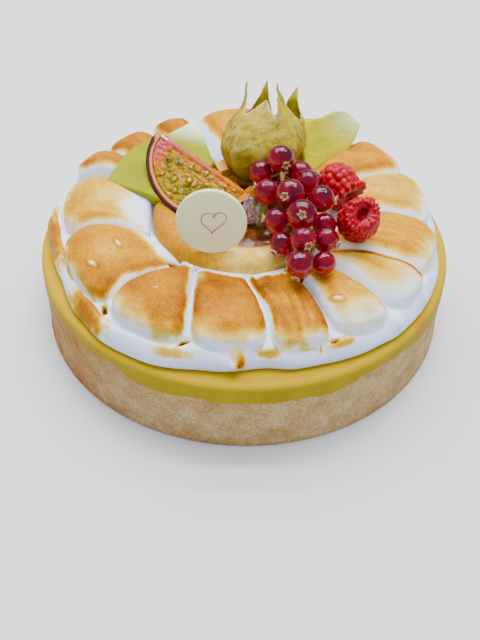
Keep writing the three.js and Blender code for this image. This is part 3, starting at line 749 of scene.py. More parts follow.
def mark_petals(rows, toast_and_crevice_shade):
    """Opens the crevices and darkens them with painted shade, and raises the blisters on the petals, in
    place.
    """
    on_petals = (np.arange(len(rows)) >= SKIRT_ROWS)[:, None]
    for x, y, turn, half, depth in CREVICES:
        along, across = turned_about(rows, x, y, turn)
        narrow = np.clip(0.42 - 0.2 * along / half, 0.12, 1)
        hole = np.exp(-np.abs(along / half) ** 3 - (across / (half * narrow)) ** 2) * on_petals
        rows[..., 2] -= depth * hole
        # Painted shade: each crevice is darkened as if toasted dark, for the shade that falls in it.
        np.maximum(toast_and_crevice_shade, 0.95 * smooth(0.35, 0.85, hole), out=toast_and_crevice_shade)
    for x, y, turn, half in BLISTERS:
        along, across = turned_about(rows, x, y, turn)
        far = np.hypot(along / half, across / (0.45 * half))
        rows[..., 2] += 0.55 * np.exp(-far ** 4) * on_petals
        toast_and_crevice_shade *= 1 - 0.95 * np.exp(-(far / 0.85) ** 4)
        toast_and_crevice_shade += 0.16 * np.exp(-((far - 1.35) / 0.4) ** 2) * (toast_and_crevice_shade > 0.1)


def mark_skirt(skirt, toast_and_crevice_shade):
    """Toasts the skirt in patches and pulls out its folds, in place."""
    degrees = np.degrees(np.arctan2(skirt[..., 1], skirt[..., 0]))
    wander = 0.35 * ripple(skirt, 3.5, seed=9.0)
    for at, half_angle, height, half_height, brown in SKIRT_PATCHES:
        far = np.hypot(degrees_from(at, degrees) / half_angle, (skirt[..., 2] - height) / half_height)
        np.maximum(toast_and_crevice_shade, brown * (1 - smooth(0.2, 1.3, far + wander)), out=toast_and_crevice_shade)
    for at, height, half_width, half_height, out, brown in SKIRT_FOLDS:
        turn = np.radians(degrees_from(at, degrees)) * SKIRT_RADIUS / half_width
        lift = (skirt[..., 2] - height) / half_height
        skirt += unit(skirt * [1, 1, 0]) * (out * np.exp(-turn ** 2 - lift ** 2))[..., None]
        tip = np.exp(-((turn - 0.75) / 0.5) ** 2 - (lift + 0.3 * turn) ** 2)
        np.maximum(toast_and_crevice_shade, brown * tip, out=toast_and_crevice_shade)


def make_meringue(material):
    columns = Columns()
    angle = columns.outermost
    edge, hollow = skirt_edge(angle), hollow_edge(angle)
    last_radius = edge - SKIRT_INSET
    last_height = columns.height(last_radius)
    rows, toast_and_crevice_shade = [], []
    for t in np.arange(SKIRT_ROWS) / SKIRT_ROWS:
        weights = ((1 - t) ** 3, 3 * t * (1 - t) ** 2, 3 * t * t * (1 - t), t ** 3)
        radius = edge + np.dot(weights, (-1, 0.9, 0.2, -SKIRT_INSET))
        height = np.dot(weights[:3], (LAYER_TOP + GAP, 36.8, 41)) + weights[3] * last_height
        swell = ripple(polar(radius, angle, height), 16, seed=2.0, octaves=2) * math.sin(math.pi * t)
        rows.append(polar(radius + 0.35 * swell, angle, height))
        toast_and_crevice_shade.append(0 * edge)
    for part in (np.arange(PETAL_ROWS + 1) / PETAL_ROWS) ** 1.15:
        radius = mix(last_radius, hollow + 2.2, part)
        flat = polar(radius + columns.overhang(radius), columns.angle(radius), columns.height(radius))
        swell = 0.45 * ripple(flat, 15, seed=4.0, octaves=2) + 0.1 * ripple(flat, 4, seed=6.0)
        rows.append(flat + swell[..., None] * UP)
        toast_and_crevice_shade.append(columns.toast(radius, flat))
    rows += [polar(hollow + 0.6, angle, rows[-1][..., 2] - 1.2), polar(hollow, angle, FLOOR_TOP)]
    toast_and_crevice_shade += [0 * edge, 0 * edge]
    rows, toast_and_crevice_shade = np.array(rows), np.array(toast_and_crevice_shade)
    mark_petals(rows, toast_and_crevice_shade)
    skirt_end = SKIRT_ROWS + 6
    mark_skirt(rows[:skirt_end], toast_and_crevice_shade[:skirt_end])
    # The toast attribute holds the toast and the painted shade in the crevices.
    meringue = skin("piped_meringue", rows, {"toast": np.clip(toast_and_crevice_shade, 0, 1)})
    finished(dressed(meringue, material), "meringue")


# The piped ring round the middle

def make_ring(material):
    angle, across = np.meshgrid(-full_turn(360), full_turn(48) + np.pi / 2, indexing="ij")
    uneven = RING_UNEVEN * (0.6 * np.sin(3 * angle + 0.6) + 0.4 * np.sin(7 * angle))
    out, up = np.cos(across), np.sin(across)
    radius = RING_RADIUS + (RING_HALF_WIDTH + uneven) * np.sign(out) * np.abs(out) ** 0.8
    bottom = FLOOR_TOP + GAP
    middle = bottom + 4
    top = middle + (RING_TOP + uneven - middle) * np.maximum(0, up) ** 0.85
    height = np.where(up > 0, top, np.maximum(bottom, middle + 5.2 * up))
    rows = polar(radius, angle, height) + (*RING_CENTRE, 0)
    rows[..., 2] += 0.3 * ripple(rows * [1, 1, 0.6], 8, seed=12.0) * np.maximum(0, up)
    leftness = smooth(-12, -34, rows[..., 0] + 0.3 * rows[..., 1])
    brown = 0.21 + 0.24 * leftness + 0.1 * smooth(0.1, -0.7, out)
    brown += 0.06 * ripple(rows, 11, seed=8.0) + 0.06 * ripple(rows, 2, seed=2.0)
    ring = skin("piped_ring", rows, {"toast": brown * smooth(-0.75, 0.1, up)}, looped=True)
    finished(dressed(ring, material), "meringue_ring")


# The mango jelly in the ring

JELLY_TOP = 47


def jelly():
    """Fruit jelly: glossy, dark amber, with lumps of fruit that catch the light."""
    return painted(
        "mango jelly", [((6, 4), [(0.32, "3E1602"), (0.5, "643004"), (0.7, "946008")])],
        relief=(0.7, 3), Roughness=0.12, Coat_Weight=0.6, Coat_Roughness=0.05,
        Subsurface_Weight=0.3, Subsurface_Radius=(0.004, 0.0015, 0.0004),
    )


def make_jelly():
    inside = RING_RADIUS - RING_HALF_WIDTH - 1
    turn = full_turn(120)
    rows = [polar(inside, turn, FLOOR_TOP + GAP), polar(inside, turn, JELLY_TOP - 0.8)]
    for part in np.linspace(1, 0.04, 34):
        flat = polar((inside - 1) * part, turn, JELLY_TOP)
        lumps = 0.9 * ripple(flat, 7, seed=1.0) + 0.35 * np.abs(ripple(flat, 2.4, seed=5.0))
        rows.append(flat + (lumps * smooth(1, 0.9, part))[..., None] * UP)
    pool = skin("mango_jelly_pool", np.array(rows) + (*RING_CENTRE, 0))
    finished(dressed(pool, jelly()), "mango_jelly")


# Helpers for paths and for shapes set on points

def through(points, count):
    """Points on a smooth curve through the given ones."""
    points = np.asarray(points, float)
    before = 2 * points[0] - points[1]
    after = 2 * points[-1] - points[-2]
    points = np.concatenate([[before], points, [after]])
    at = np.linspace(0, len(points) - 3, count)
    i = np.minimum(at.astype(int), len(points) - 4)
    t = (at - i)[:, None]
    a, b, c, d = (points[i + k] for k in range(4))
    square, cube = 2 * a - 5 * b + 4 * c - d, 3 * b - a - 3 * c + d
    return 0.5 * (2 * b + (c - a) * t + square * t ** 2 + cube * t ** 3)


def tube(name, path, radii, sides):
    """A round tube along a path in millimetres, with a radius for every point."""
    forward = unit(np.gradient(path, axis=0))
    side = np.cross(forward[0], (0.31, 0.52, 0.79))
    rows = []
    for point, ahead, radius in zip(path, forward, np.broadcast_to(radii, len(path))):
        side = unit(side - ahead * (side @ ahead))
        rows.append(point + radius * hoop(full_turn(sides), side, np.cross(ahead, side)))
    return skin(name, rows)


def new_group(name, *inputs):
    """A geometry node tree with named inputs after its geometry; returns it and its two ends."""
    tree = bpy.data.node_groups.new(name, "GeometryNodeTree")
    tree.interface.new_socket("Geometry", in_out="INPUT", socket_type="NodeSocketGeometry")
    tree.interface.new_socket("Geometry", in_out="OUTPUT", socket_type="NodeSocketGeometry")
    for label, kind in inputs:
        tree.interface.new_socket(label, in_out="INPUT", socket_type=kind)
    return tree, add_node(tree, "NodeGroupInput"), add_node(tree, "NodeGroupOutput")


def grown_by(piece, tree, **values):
    """Runs a geometry node tree on a piece with its named inputs set and keeps the plain mesh."""
    modifier = piece.modifiers.new("grow", "NODES")
    modifier.node_group = tree
    for item in tree.interface.items_tree:
        if item.in_out == "INPUT" and item.name in values:
            modifier[item.identifier] = values[item.name]
    return baked(piece)


def end_tree(tree, start, end, geometry):
    """Ends a tree in real, smooth geometry of the material in its input."""
    real = add_node(tree, "GeometryNodeRealizeInstances", links={"Geometry": geometry})
    rounded = add_node(tree, "GeometryNodeSetShadeSmooth", links={"Geometry": real.outputs["Geometry"]})
    coloured = add_node(
        tree, "GeometryNodeSetMaterial",
        links={"Geometry": rounded.outputs["Geometry"], "Material": start.outputs["Material"]},
    )
    tree.links.new(coloured.outputs["Geometry"], end.inputs["Geometry"])
    return tree


def make_bead_tree():
    """Sets a lumpy round bead on every point, facing, turned and sized by the point's attributes."""
    tree, start, end = new_group(
        "beads on points", ("Subdivisions", "NodeSocketInt"), ("Lump", "NodeSocketFloat"),
        ("Material", "NodeSocketMaterial"),
    )
    facing, along, size = (
        add_node(
            tree, "GeometryNodeInputNamedAttribute", {"data_type": "FLOAT_VECTOR"}, {"Name": name},
        ).outputs["Attribute"]
        for name in ("facing", "along", "size")
    )
    upright = add_node(tree, "FunctionNodeAlignRotationToVector", {"axis": "Z"}, links={"Vector": facing})
    turned = add_node(
        tree, "FunctionNodeAlignRotationToVector", {"axis": "X", "pivot_axis": "Z"},
        links={"Rotation": upright.outputs["Rotation"], "Vector": along},
    )
    bead = add_node(
        tree, "GeometryNodeMeshIcoSphere", inputs={"Radius": 1},
        links={"Subdivisions": start.outputs["Subdivisions"]},
    )
    set_on = add_node(
        tree, "GeometryNodeInstanceOnPoints",
        links={
            "Points": start.outputs["Geometry"], "Instance": bead.outputs["Mesh"],
            "Rotation": turned.outputs["Rotation"], "Scale": size,
        },
    )
    real = add_node(tree, "GeometryNodeRealizeInstances", links={"Geometry": set_on.outputs["Instances"]})
    uneven = add_node(tree, "ShaderNodeTexNoise", inputs={"Scale": 900, "Detail": 1})
    centred = add_node(
        tree, "ShaderNodeMath", {"operation": "SUBTRACT"}, {1: 0.5}, {0: uneven.outputs["Fac"]},
    )
    height = add_node(
        tree, "ShaderNodeMath", {"operation": "MULTIPLY"}, None,
        {0: centred.outputs[0], 1: start.outputs["Lump"]},
    )
    normal = add_node(tree, "GeometryNodeInputNormal")
    offset = add_node(
        tree, "ShaderNodeVectorMath", {"operation": "SCALE"}, None,
        {"Vector": normal.outputs["Normal"], "Scale": height.outputs[0]},
    )
    lumpy = add_node(
        tree, "GeometryNodeSetPosition",
        links={"Geometry": real.outputs["Geometry"], "Offset": offset.outputs["Vector"]},
    )
    return end_tree(tree, start, end, lumpy.outputs["Geometry"])


bead_tree = make_bead_tree()


def beads(name, points, facing, along, size, lump, material):
    """Beads at points, each facing one way and turned along another, with three half sizes."""
    mesh = new_mesh(name, points)
    for key, values in {"facing": facing, "along": along, "size": size * MM}.items():
        set_attribute(mesh, key, values, "FLOAT_VECTOR")
    return grown_by(
        new_object(name, mesh), bead_tree, Subdivisions=3, Lump=2 * lump * MM, Material=material,
    )


# The white chocolate coin, with a thin heart drawn on its front

COIN_RADIUS = 14.6
COIN_THICKNESS = 2
COIN_AT = (-13.7, -27.4, 66)
COIN_LEAN = math.radians(-9)
COIN_TURN = math.radians(-2)
HEART_SCALE = 0.34


def white_chocolate():
    """White chocolate: ivory, satin and slightly translucent, with fine dull scuffs."""
    material = painted(
        "white chocolate", [((9, 4), [(0.3, "FAF2AC"), (0.7, "FFF9C0")])],
        relief=(0.05, 4, 4), Specular_IOR_Level=0.4,
        Subsurface_Weight=0.25, Subsurface_Radius=(0.003, 0.002, 0.001),
    )
    tree = material.node_tree
    scuffs = add_node(
        tree, "ShaderNodeMapRange", inputs={"To Min": 0.38, "To Max": 0.6},
        links={"Value": object_noise(tree, 2, 6, 0.7)},
    )
    tree.links.new(scuffs.outputs["Result"], tree.nodes["Principled BSDF"].inputs["Roughness"])
    return material


def food_ink():
    """Food ink: a matt red line that soaks in a little, so its tone varies along it."""
    return painted("red food ink", [((1.5,), [(0.35, "B52A30"), (0.65, "CC4C50")])], Roughness=0.55)


def on_coin(points):
    """From the coin's own frame, its front towards -Y, to its place in the ring."""
    turn = Matrix.Rotation(COIN_TURN, 3, "Z") @ Matrix.Rotation(COIN_LEAN, 3, "X")
    return points @ np.array(turn).T + COIN_AT


def make_coin():
    half = COIN_THICKNESS / 2
    front = [
        (4, -half), (9, -half), (COIN_RADIUS - 1, -half), (COIN_RADIUS - 0.45, -half + 0.05),
        (COIN_RADIUS - 0.12, -half + 0.3), (COIN_RADIUS, -half + 0.7),
    ]
    rows = []
    for radius, depth in front + [(radius, -depth) for radius, depth in reversed(front)]:
        ring = radius * hoop(full_turn(96), [1, 0, 0], [0, 0, 1]) + [0, depth, 0]
        trim = 1 - 0.006 * np.abs(ripple(ring * [1, 0, 1], 14, seed=3.0)) - 0.002 * np.abs(ripple(ring, 2))
        rows.append(on_coin(ring * trim[:, None]))
    disc = dressed(skin("disc", rows), white_chocolate())
    t = np.linspace(-0.06, 2 * np.pi + 0.05, 90)
    x = 16 * np.sin(t) ** 3
    z = 13 * np.cos(t) - 5 * np.cos(2 * t) - 2 * np.cos(3 * t) - np.cos(4 * t)
    drawn = np.stack([x + 0.12 * z + 0.5 * t, 0 * t, z + 0.06 * x], axis=-1) * HEART_SCALE
    drawn += [0.4, -half - 0.02, 0.6]
    line = tube("heart line", on_coin(drawn), 0.2 + 0.05 * np.sin(3 * t), sides=8)
    coin = joined("white_chocolate_disc", [disc, dressed(line, food_ink())])
    finished(coin, "white_chocolate_coin")


# The passion fruit wedge. In its own frame the core runs along X, one cut face points to +Z, and
# the wedge opens from +Y round towards -Z.

FRUIT_LENGTH = 57
FRUIT_RADIUS = 25
RIND = 3
WEDGE_ANGLE = math.radians(100)
STEM_END_TAPER = 0.13
WEDGE_TIP = np.array([-41, 36, 67.5])
WEDGE_FOOT = np.array([2.1, -1.6, 60.5])
WEDGE_RIM = np.array([-35, 0.5, 52.8])

# Seeds that show in the cut face, along the core and out from it, and the half length of each:
# ripe ones near the tip, green ones after them, and pale ones under the gel
RIPE_SEEDS = [(14, 7.7, 1.5), (8.7, 6.2, 1.6)]
GREEN_SEEDS = [(2.7, 4.6, 1.5), (-0.9, 4.1, 1.2), (-5.3, 3.1, 1.3), (-8.6, 3.4, 1.1), (11.4, 9.8, 1)]
PALE_SEEDS = [
    (4.9, 13.4, 1.6), (-1.1, 10.1, 1.5), (-4.4, 10.2, 1.6), (-16.4, 3, 1.1), (-21, 2.2, 1),
    (11.5, 14.5, 1.3), (1, 17.5, 1.4), (-9.5, 7, 1.3), (-13, 10, 1.4), (-7.6, 15.6, 1.4), (-17, 5.6, 1.2),
]
SEEDS = RIPE_SEEDS + GREEN_SEEDS + PALE_SEEDS


def in_wedge(points):
    """From the wedge's own frame to its place on the cake."""
    core = unit(WEDGE_TIP - WEDGE_FOOT)
    to_rim = WEDGE_RIM - WEDGE_FOOT
    face = unit(to_rim - core * (to_rim @ core))
    return np.asarray(points) @ np.array([core, face, np.cross(core, face)]) + (WEDGE_TIP + WEDGE_FOOT) / 2


def wedge_turned(vectors):
    return in_wedge(vectors) - in_wedge(np.zeros(3))


def fruit_reach(x, inset):
    """The fruit's radius at a place along its core, after an inset from the skin."""
    along = x / (FRUIT_LENGTH / 2 - inset)
    across = (FRUIT_RADIUS - inset) * (1 - STEM_END_TAPER * along)
    return across * np.sqrt(np.maximum(0, 1 - along ** 2))


def spoke(x, turn, radius):
    """A point of the wedge's own frame at a place along the core, a turn and a radius."""
    x, turn, radius = np.broadcast_arrays(x, turn, radius)
    return np.stack([x, radius * np.cos(turn), -radius * np.sin(turn)], axis=-1)


def fruit_rind():
    """Passion fruit rind: a wrinkled, waxy purple skin over pink and cream pith."""
    material, tree, shader = new_material("passion fruit rind", Roughness=0.42, Specular_IOR_Level=0.12)
    under_skin = signal(tree, "under_skin")
    blotch = add_node(
        tree, "ShaderNodeMath", {"operation": "MULTIPLY_ADD"}, {1: 0.2, 2: -0.1},
        {0: object_noise(tree, 3, 4)},
    )
    depth = add_node(
        tree, "ShaderNodeMath", {"operation": "ADD"}, None, {0: under_skin, 1: blotch.outputs[0]},
    )
    inside = add_node(
        tree, "ShaderNodeMapRange", inputs={"From Min": 0.02, "From Max": 0.1}, links={"Value": under_skin},
    )
    skin_tones = [(0.3, "1C0208"), (0.5, "380510"), (0.66, "50101E"), (0.8, "6E303C")]
    pith_tones = [
        (0, "2E0614"), (0.46, "4A0C22"), (0.54, "903A40"), (0.64, "C87850"), (0.8, "CC9038"), (1, "B47400"),
    ]
    paint(
        tree, shader, ((4, 6, 0.7), skin_tones),
        (depth.outputs[0], pith_tones, "MIX", inside.outputs["Result"]),
    )
    add_relief(tree, shader, object_noise(tree, 1.6, 4), 0.15)
    return material


def fruit_pulp():
    """Passion fruit pulp: wet, glassy and orange to olive, under a pink membrane near the rind's tip."""
    juice = [(0.3, "343400"), (0.42, "6E6400"), (0.5, "9E8000"), (0.6, "B27A00"), (0.8, "C48E00")]
    return painted(
        "passion fruit pulp", [
            ((4.5, 5, 0.65), juice),
            ((6,), [(0.35, "BC5000"), (0.7, "CC6E00")], "MIX", "ridge"),
            (None, "C4505C", "MIX", "pink"),
        ],
        relief=(0.6, 1.8), Roughness=0.3, Specular_IOR_Level=0.02, Coat_Weight=0.45,
        Coat_Roughness=0.02, Subsurface_Weight=0.05, Subsurface_Radius=(0.003, 0.0015, 0.0003),
    )


def fruit_gel():
    """The gel round each seed: wet, yellow and clear, so the dark seed shows and edges catch light."""
    return painted(
        "seed gel", [((3, 2), [(0.35, "D09C00"), (0.65, "E6BC10")])],
        Roughness=0.04, Transmission_Weight=0.8, IOR=1.36,
    )


def seed_shell(name, tones):
    """Passion fruit seed: hard and smooth, with small shallow pits."""
    return painted(name, [((1, 2), tones)], relief=(0.08, 0.4, 1), Roughness=0.2, Coat_Weight=0.5)


def make_rind():
    arc = np.linspace(0, WEDGE_ANGLE, 56)
    steps = np.linspace(0, 1, 9)[1:-1]
    rows, depths = [], []
    for x in -np.cos(np.linspace(0.02, np.pi - 0.02, 96)) * FRUIT_LENGTH / 2:
        outside, inside = fruit_reach(x, 0), fruit_reach(x, RIND)
        rows.append(np.concatenate([
            spoke(x, arc, outside), spoke(x, WEDGE_ANGLE, mix(outside, inside, steps)),
            spoke(x, arc[::-1], inside), spoke(x, 0, mix(inside, outside, steps)),
        ]))
        thick = np.clip((outside - inside) / RIND, 0.2, 1)
        running = smooth(-19, -24, x)
        cut = [mix(part, 1, running * smooth(0.3, 0.5, part)) for part in (steps, 1 - steps)]
        depths.append(np.concatenate([0 * arc, cut[0], 1 + 0 * arc, cut[1]]) * thick)
    rows = np.array(rows)
    on_skin = np.zeros(rows.shape[1])
    on_skin[1:len(arc) - 1] = 1
    wrinkles = np.abs(ripple(rows, 3.2, seed=4.0)) + 0.5 * ripple(rows, 9, seed=2.0, octaves=2)
    rows[..., 1:] *= (1 - 0.016 * np.abs(wrinkles) * on_skin)[..., None]
    rind = skin("passion_fruit_rind_shell", in_wedge(rows), {"under_skin": depths})
    face_out(rind.data, merge=0.02 * MM)
    finished(dressed(rind, fruit_rind()), "passion_fruit_rind")


def make_pulp():
    half = FRUIT_LENGTH / 2 - RIND - GAP
    arc = np.linspace(0, WEDGE_ANGLE, 30)[1:-1]
    steps = np.linspace(1, 0, 52)
    rows = []
    for x in -np.cos(np.linspace(0.05, np.pi - 0.05, 110)) * half:
        reach = fruit_reach(x, RIND + GAP)
        rows.append(np.concatenate([
            spoke(x, arc, reach), spoke(x, WEDGE_ANGLE, reach * steps), spoke(x, 0, reach * steps[-2::-1]),
        ]))
    rows = np.array(rows)
    x, out = rows[..., 0], np.hypot(rows[..., 1], rows[..., 2])
    wander = ripple(rows, 5, seed=3.0)
    ridge = np.maximum(1 - smooth(0.8, 2, out + 0.8 * wander), 0.7 - 0.7 * smooth(0, 7, out + 2 * wander))
    ridge = np.maximum(ridge, 0.8 * smooth(13, 18, x + 1.5 * wander))
    edge = (1 - smooth(0.6, 1.4, out + 0.5 * wander - 0.8 * smooth(4, 20, x))) * smooth(-14, 0, x)
    pink = 0.9 * np.maximum(edge, smooth(17, 21, x + 1.5 * wander))
    cells = 2.4 * np.abs(ripple(rows, 3.4, seed=8.0))
    dent = (0.25 + 0.75 * np.clip(cells, 0, 1.2)) * smooth(0.8, 2.2, out)
    column = np.arange(rows.shape[1])
    upper = column >= len(arc) + len(steps)
    lower = (column >= len(arc)) & ~upper
    rows[..., 2] -= dent * upper
    rows[..., 1] -= dent * lower * math.cos(WEDGE_ANGLE - math.pi / 2)
    pulp = skin("pulp", in_wedge(rows), {"ridge": ridge, "pink": pink})
    face_out(pulp.data, merge=0.02 * MM)

    # Every seed's place, the way it faces, the way of its long side, its half sizes, those of its
    # gel, and its number
    found = []
    rng = random.Random(7)
    lower_seeds = [(x * 0.96 - 1, out * 0.93 + 0.8, size) for x, out, size in SEEDS]
    for turn, outward, seeds in (
        (0, UP, SEEDS),
        (WEDGE_ANGLE, np.array([0, -math.sin(WEDGE_ANGLE), -math.cos(WEDGE_ANGLE)]), lower_seeds),
    ):
        for number, (x, out, size) in enumerate(seeds):
            spin = rng.uniform(0, math.pi)
            found.append((
                spoke(x, turn, out) - outward * 0.45, outward, spoke(math.cos(spin), turn, math.sin(spin)),
                (size, size * 0.68, 0.75), (size * 1.35, size * 1.05, 0.6), number,
            ))
    places, facings, alongs, sizes, gels, numbers = (np.array(values, float) for values in zip(*found))
    places, facings, alongs = in_wedge(places), wedge_turned(facings), wedge_turned(alongs)
    pieces = [dressed(pulp, fruit_pulp()), beads("gel", places, facings, alongs, gels, 0.25, fruit_gel())]
    ripe_end, green_end = len(RIPE_SEEDS), len(RIPE_SEEDS + GREEN_SEEDS)
    for name, first, last, tones in (
        ("ripe seed", 0, ripe_end, [(0.4, "16180E"), (0.6, "3E4430")]),
        ("green seed", ripe_end, green_end, [(0.4, "4C5026"), (0.6, "A8A860")]),
        ("pale seed", green_end, len(SEEDS), [(0.35, "7E7400"), (0.5, "AE9000"), (0.65, "D8B838")]),
    ):
        chosen = (numbers >= first) & (numbers < last)
        placed = [values[chosen] for values in (places, facings, alongs, sizes)]
        pieces.append(beads(name, *placed, 0.05, seed_shell(name, tones)))
    finished(joined("passion_fruit_pulp_and_seeds", pieces), "passion_fruit_pulp")


# The papery husk, an open lantern of five lobes, with a berry inside

HUSK_RADIUS = 19.5
HUSK_PAPER = 0.3
HUSK_POINTEDNESS = 1.25

# Each lobe has its middle angle, its tip's height, the way the tip leans and the height of the
# notches at its low and high side.
HUSK_LOBES = [
    dict(angle=252, height=0.86, lean=(4, 3), notches=(0.76, 0.74)),
    dict(angle=324, height=0.99, lean=(-4, 2), notches=(0.74, 0.7)),
    dict(angle=36, height=0.96, lean=(7, 0), notches=(0.7, 0.66)),
    dict(angle=108, height=1, lean=(2.5, 0), notches=(0.66, 0.66)),
    dict(angle=180, height=1, lean=(-0.5, 1), notches=(0.66, 0.76)),
]
HUSK_PROFILE = [(0, 0.1), (0.1, 0.5), (0.27, 0.86), (0.45, 1), (0.66, 0.86), (0.84, 0.56), (1, 0.5)]
BERRY_AT = (5.4, 30, 61.2)
BERRY_RADIUS = 8

husk_spine = through([(2.5, 25, 48.8), (6.5, 31.5, 60), (8.5, 37.5, 72), (9, 46, 88)], 200)
husk_profile = through(HUSK_PROFILE, 200)


def husk_point(lobe, across, part):
    """A point of the husk, by lobe, place across the lobe from -1 to 1 and part of its height."""
    across, part = np.broadcast_arrays(across, part)
    pointed = 1 - np.abs(across) ** HUSK_POINTEDNESS
    notch = np.where(across < 0, *lobe["notches"])
    ragged = 0.014 * ripple(polar(8, 2 * across + lobe["angle"], 0 * across), 1.6, seed=15.0)
    height = part * (mix(notch, lobe["height"], pointed ** 1.3) + ragged * (1 - pointed ** 4))
    angle = np.radians(lobe["angle"] + across * 36)
    rib = 1 + 0.05 * np.cos(5 * (angle - np.pi / 2)) + 0.02 * np.cos(10 * (angle - np.pi / 2))
    radius = np.interp(height, *husk_profile.T) * HUSK_RADIUS * rib
    swing = np.maximum(0, (height - 0.6) / 0.4) ** 1.5
    steps = np.linspace(0, 1, len(husk_spine))
    point = np.stack([np.interp(height, steps, places) for places in husk_spine.T], axis=-1)
    point += polar(radius, angle, np.sin(angle) * radius * -0.42) + swing[..., None] * [*lobe["lean"], 0]
    crumple = np.abs(ripple(point * [1, 1, 0.6], 9, seed=5.0, octaves=4))
    crumple += 0.7 * np.abs(ripple(point * [1, 1, 0.3], 3.5, seed=7.0, octaves=2))
    return point - polar(1.25 * crumple * smooth(0.05, 0.3, height), angle, 0)


def husk_paper():
    """Dried husk: thin, veined paper, straw to yellow-green, that lets warm light through; a painted glow
    and painted highlights are laid over it.
    """
    material, tree, shader = new_material(
        "dried husk", Roughness=0.55, Specular_IOR_Level=0.3, Transmission_Weight=0.1,
        Subsurface_Weight=0.6, Subsurface_Radius=(0.005, 0.004, 0.001),
    )
    where = add_node(tree, "ShaderNodeTexCoord")
    net = add_node(
        tree, "ShaderNodeTexVoronoi", {"feature": "DISTANCE_TO_EDGE"}, {"Scale": 800},
        {"Vector": where.outputs["Object"]},
    )
    veins = add_node(
        tree, "ShaderNodeMapRange", inputs={"From Min": 0, "From Max": 0.14, "To Min": 0.84, "To Max": 1},
        links={"Value": net.outputs["Distance"]},
    )
    paint(
        tree, shader,
        ((9, 5, 0.65), [(0.3, "907600"), (0.45, "AC920A"), (0.58, "BEA824"), (0.75, "D0BE48")]),
        (veins.outputs["Result"], None, "MULTIPLY", 1),
        # The vivid layer is partly a painted glow of light through the paper; the pale layer is partly
        # painted highlights.
        (None, "BEB000", "MIX", "vivid"),
        (None, "D6C88A", "MIX", "pale"),
    )
    add_relief(tree, shader, net.outputs["Distance"], 0.3)
    return material


def husk_vein():
    """The husk's raised veins: dry and woody, a shade browner than the paper."""
    return painted("husk vein", [((6,), [(0.35, "8E7418"), (0.65, "B49C38")])], Roughness=0.6)


def make_vein_tree():
    """Turns lines of edges into thin round veins."""
    tree, start, end = new_group(
        "veins along lines", ("Radius", "NodeSocketFloat"), ("Material", "NodeSocketMaterial"),
    )
    curve = add_node(tree, "GeometryNodeMeshToCurve", links={"Mesh": start.outputs["Geometry"]})
    section = add_node(
        tree, "GeometryNodeCurvePrimitiveCircle", inputs={"Resolution": 6},
        links={"Radius": start.outputs["Radius"]},
    )
    round_vein = add_node(
        tree, "GeometryNodeCurveToMesh", inputs={"Fill Caps": True},
        links={"Curve": curve.outputs["Curve"], "Profile Curve": section.outputs["Curve"]},
    )
    return end_tree(tree, start, end, round_vein.outputs["Mesh"])


vein_tree = make_vein_tree()


def lines(name, paths, radius, material):
    """Thin round lines along several paths in millimetres."""
    ends = np.cumsum([len(path) for path in paths])
    edges = [(i, i + 1) for i in range(ends[-1] - 1) if i + 1 not in ends]
    piece = new_object(name, new_mesh(name, np.concatenate(paths), edges))
    grown_by(piece, vein_tree, Radius=radius * MM, Material=material)
    face_out(piece.data)
    return piece


def husk_tones(outside, lobe_of, across, part):
    """How vivid and how pale the outside of the husk is at each point, from 0 to 1, with a painted glow and
    painted highlights among them.
    """
    green_streak = (lobe_of == 1) * np.exp(-((across + 0.25) / 0.16) ** 2) * smooth(0.3, 0.5, part)
    # Painted glow: the back lobe's upper part is made vivid, as lit through; the green streak is the husk's
    # own colour.
    vivid = np.maximum(0.8 * (lobe_of == 3) * smooth(0.45, 0.75, part), green_streak)
    vivid = np.clip(vivid + 0.25 * ripple(outside, 7, seed=1.0), 0, 1)
    arch = np.hypot((across + 0.1) / 0.75, (part - 0.34) / 0.3) - 0.85 + 0.1 * ripple(outside, 4)
    fold = across + 0.62 + 0.5 * (part - 0.6) + 0.15 * ripple(outside, 6, seed=3.0)
    # Painted highlight along a fold of the front lobe.
    fold_shine = 0.6 * np.exp(-(fold / 0.05) ** 2) * smooth(0.4, 0.55, part)
    pale = (lobe_of == 0) * np.maximum(0.4 * np.exp(-(arch / 0.12) ** 2), fold_shine)
    # Painted highlight: the lobes' top edges are made pale.
    return vivid, np.maximum(pale, 0.7 * smooth(0.95, 1, part) * (lobe_of != 1))


def make_husk():
    lobe_columns = 34
    across = (np.arange(lobe_columns) + 0.5) / lobe_columns * 2 - 1
    part = np.linspace(0, 1, 72)[:, None]
    outside = np.concatenate([husk_point(lobe, across, part) for lobe in HUSK_LOBES], axis=1)
    lobe_of = np.repeat(np.arange(len(HUSK_LOBES)), lobe_columns)
    vivid, pale = husk_tones(outside, lobe_of, np.tile(across, len(HUSK_LOBES)), part)
    inside = outside - unit(outside - outside.mean(axis=1, keepdims=True)) * HUSK_PAPER
    inside[0, :, 2] += HUSK_PAPER
    # Painted glow: the inside is made vivid towards the top, as lit through.
    lit = np.maximum(vivid, 0.8 * smooth(0.5, 0.75, part))
    paper = skin("husk paper", np.concatenate([outside, inside[::-1]]), {
        "vivid": np.concatenate([vivid, lit[::-1]]), "pale": np.concatenate([pale, pale[::-1]]),
    })

    t = np.linspace(0, 1, 14)
    paths, fine_paths = [], []
    for lobe in HUSK_LOBES:
        paths.append(husk_point(lobe, 0, np.linspace(0.02, 0.99, 50)))
        paths.append(husk_point(lobe, -1, np.linspace(0.02, 0.98, 40)))
        for side in (-1, 1):
            for start in (0.12, 0.28, 0.44, 0.6, 0.76):
                fine_paths.append(husk_point(lobe, side * 0.85 * t, start + 0.24 * t ** 1.4))
    vein = husk_vein()
    veins = [lines("veins", paths, 0.2, vein), lines("fine veins", fine_paths, 0.08, vein)]
    husk = joined("dried_husk", [dressed(paper, husk_paper()), *veins])
    finished(husk, "physalis_husk")


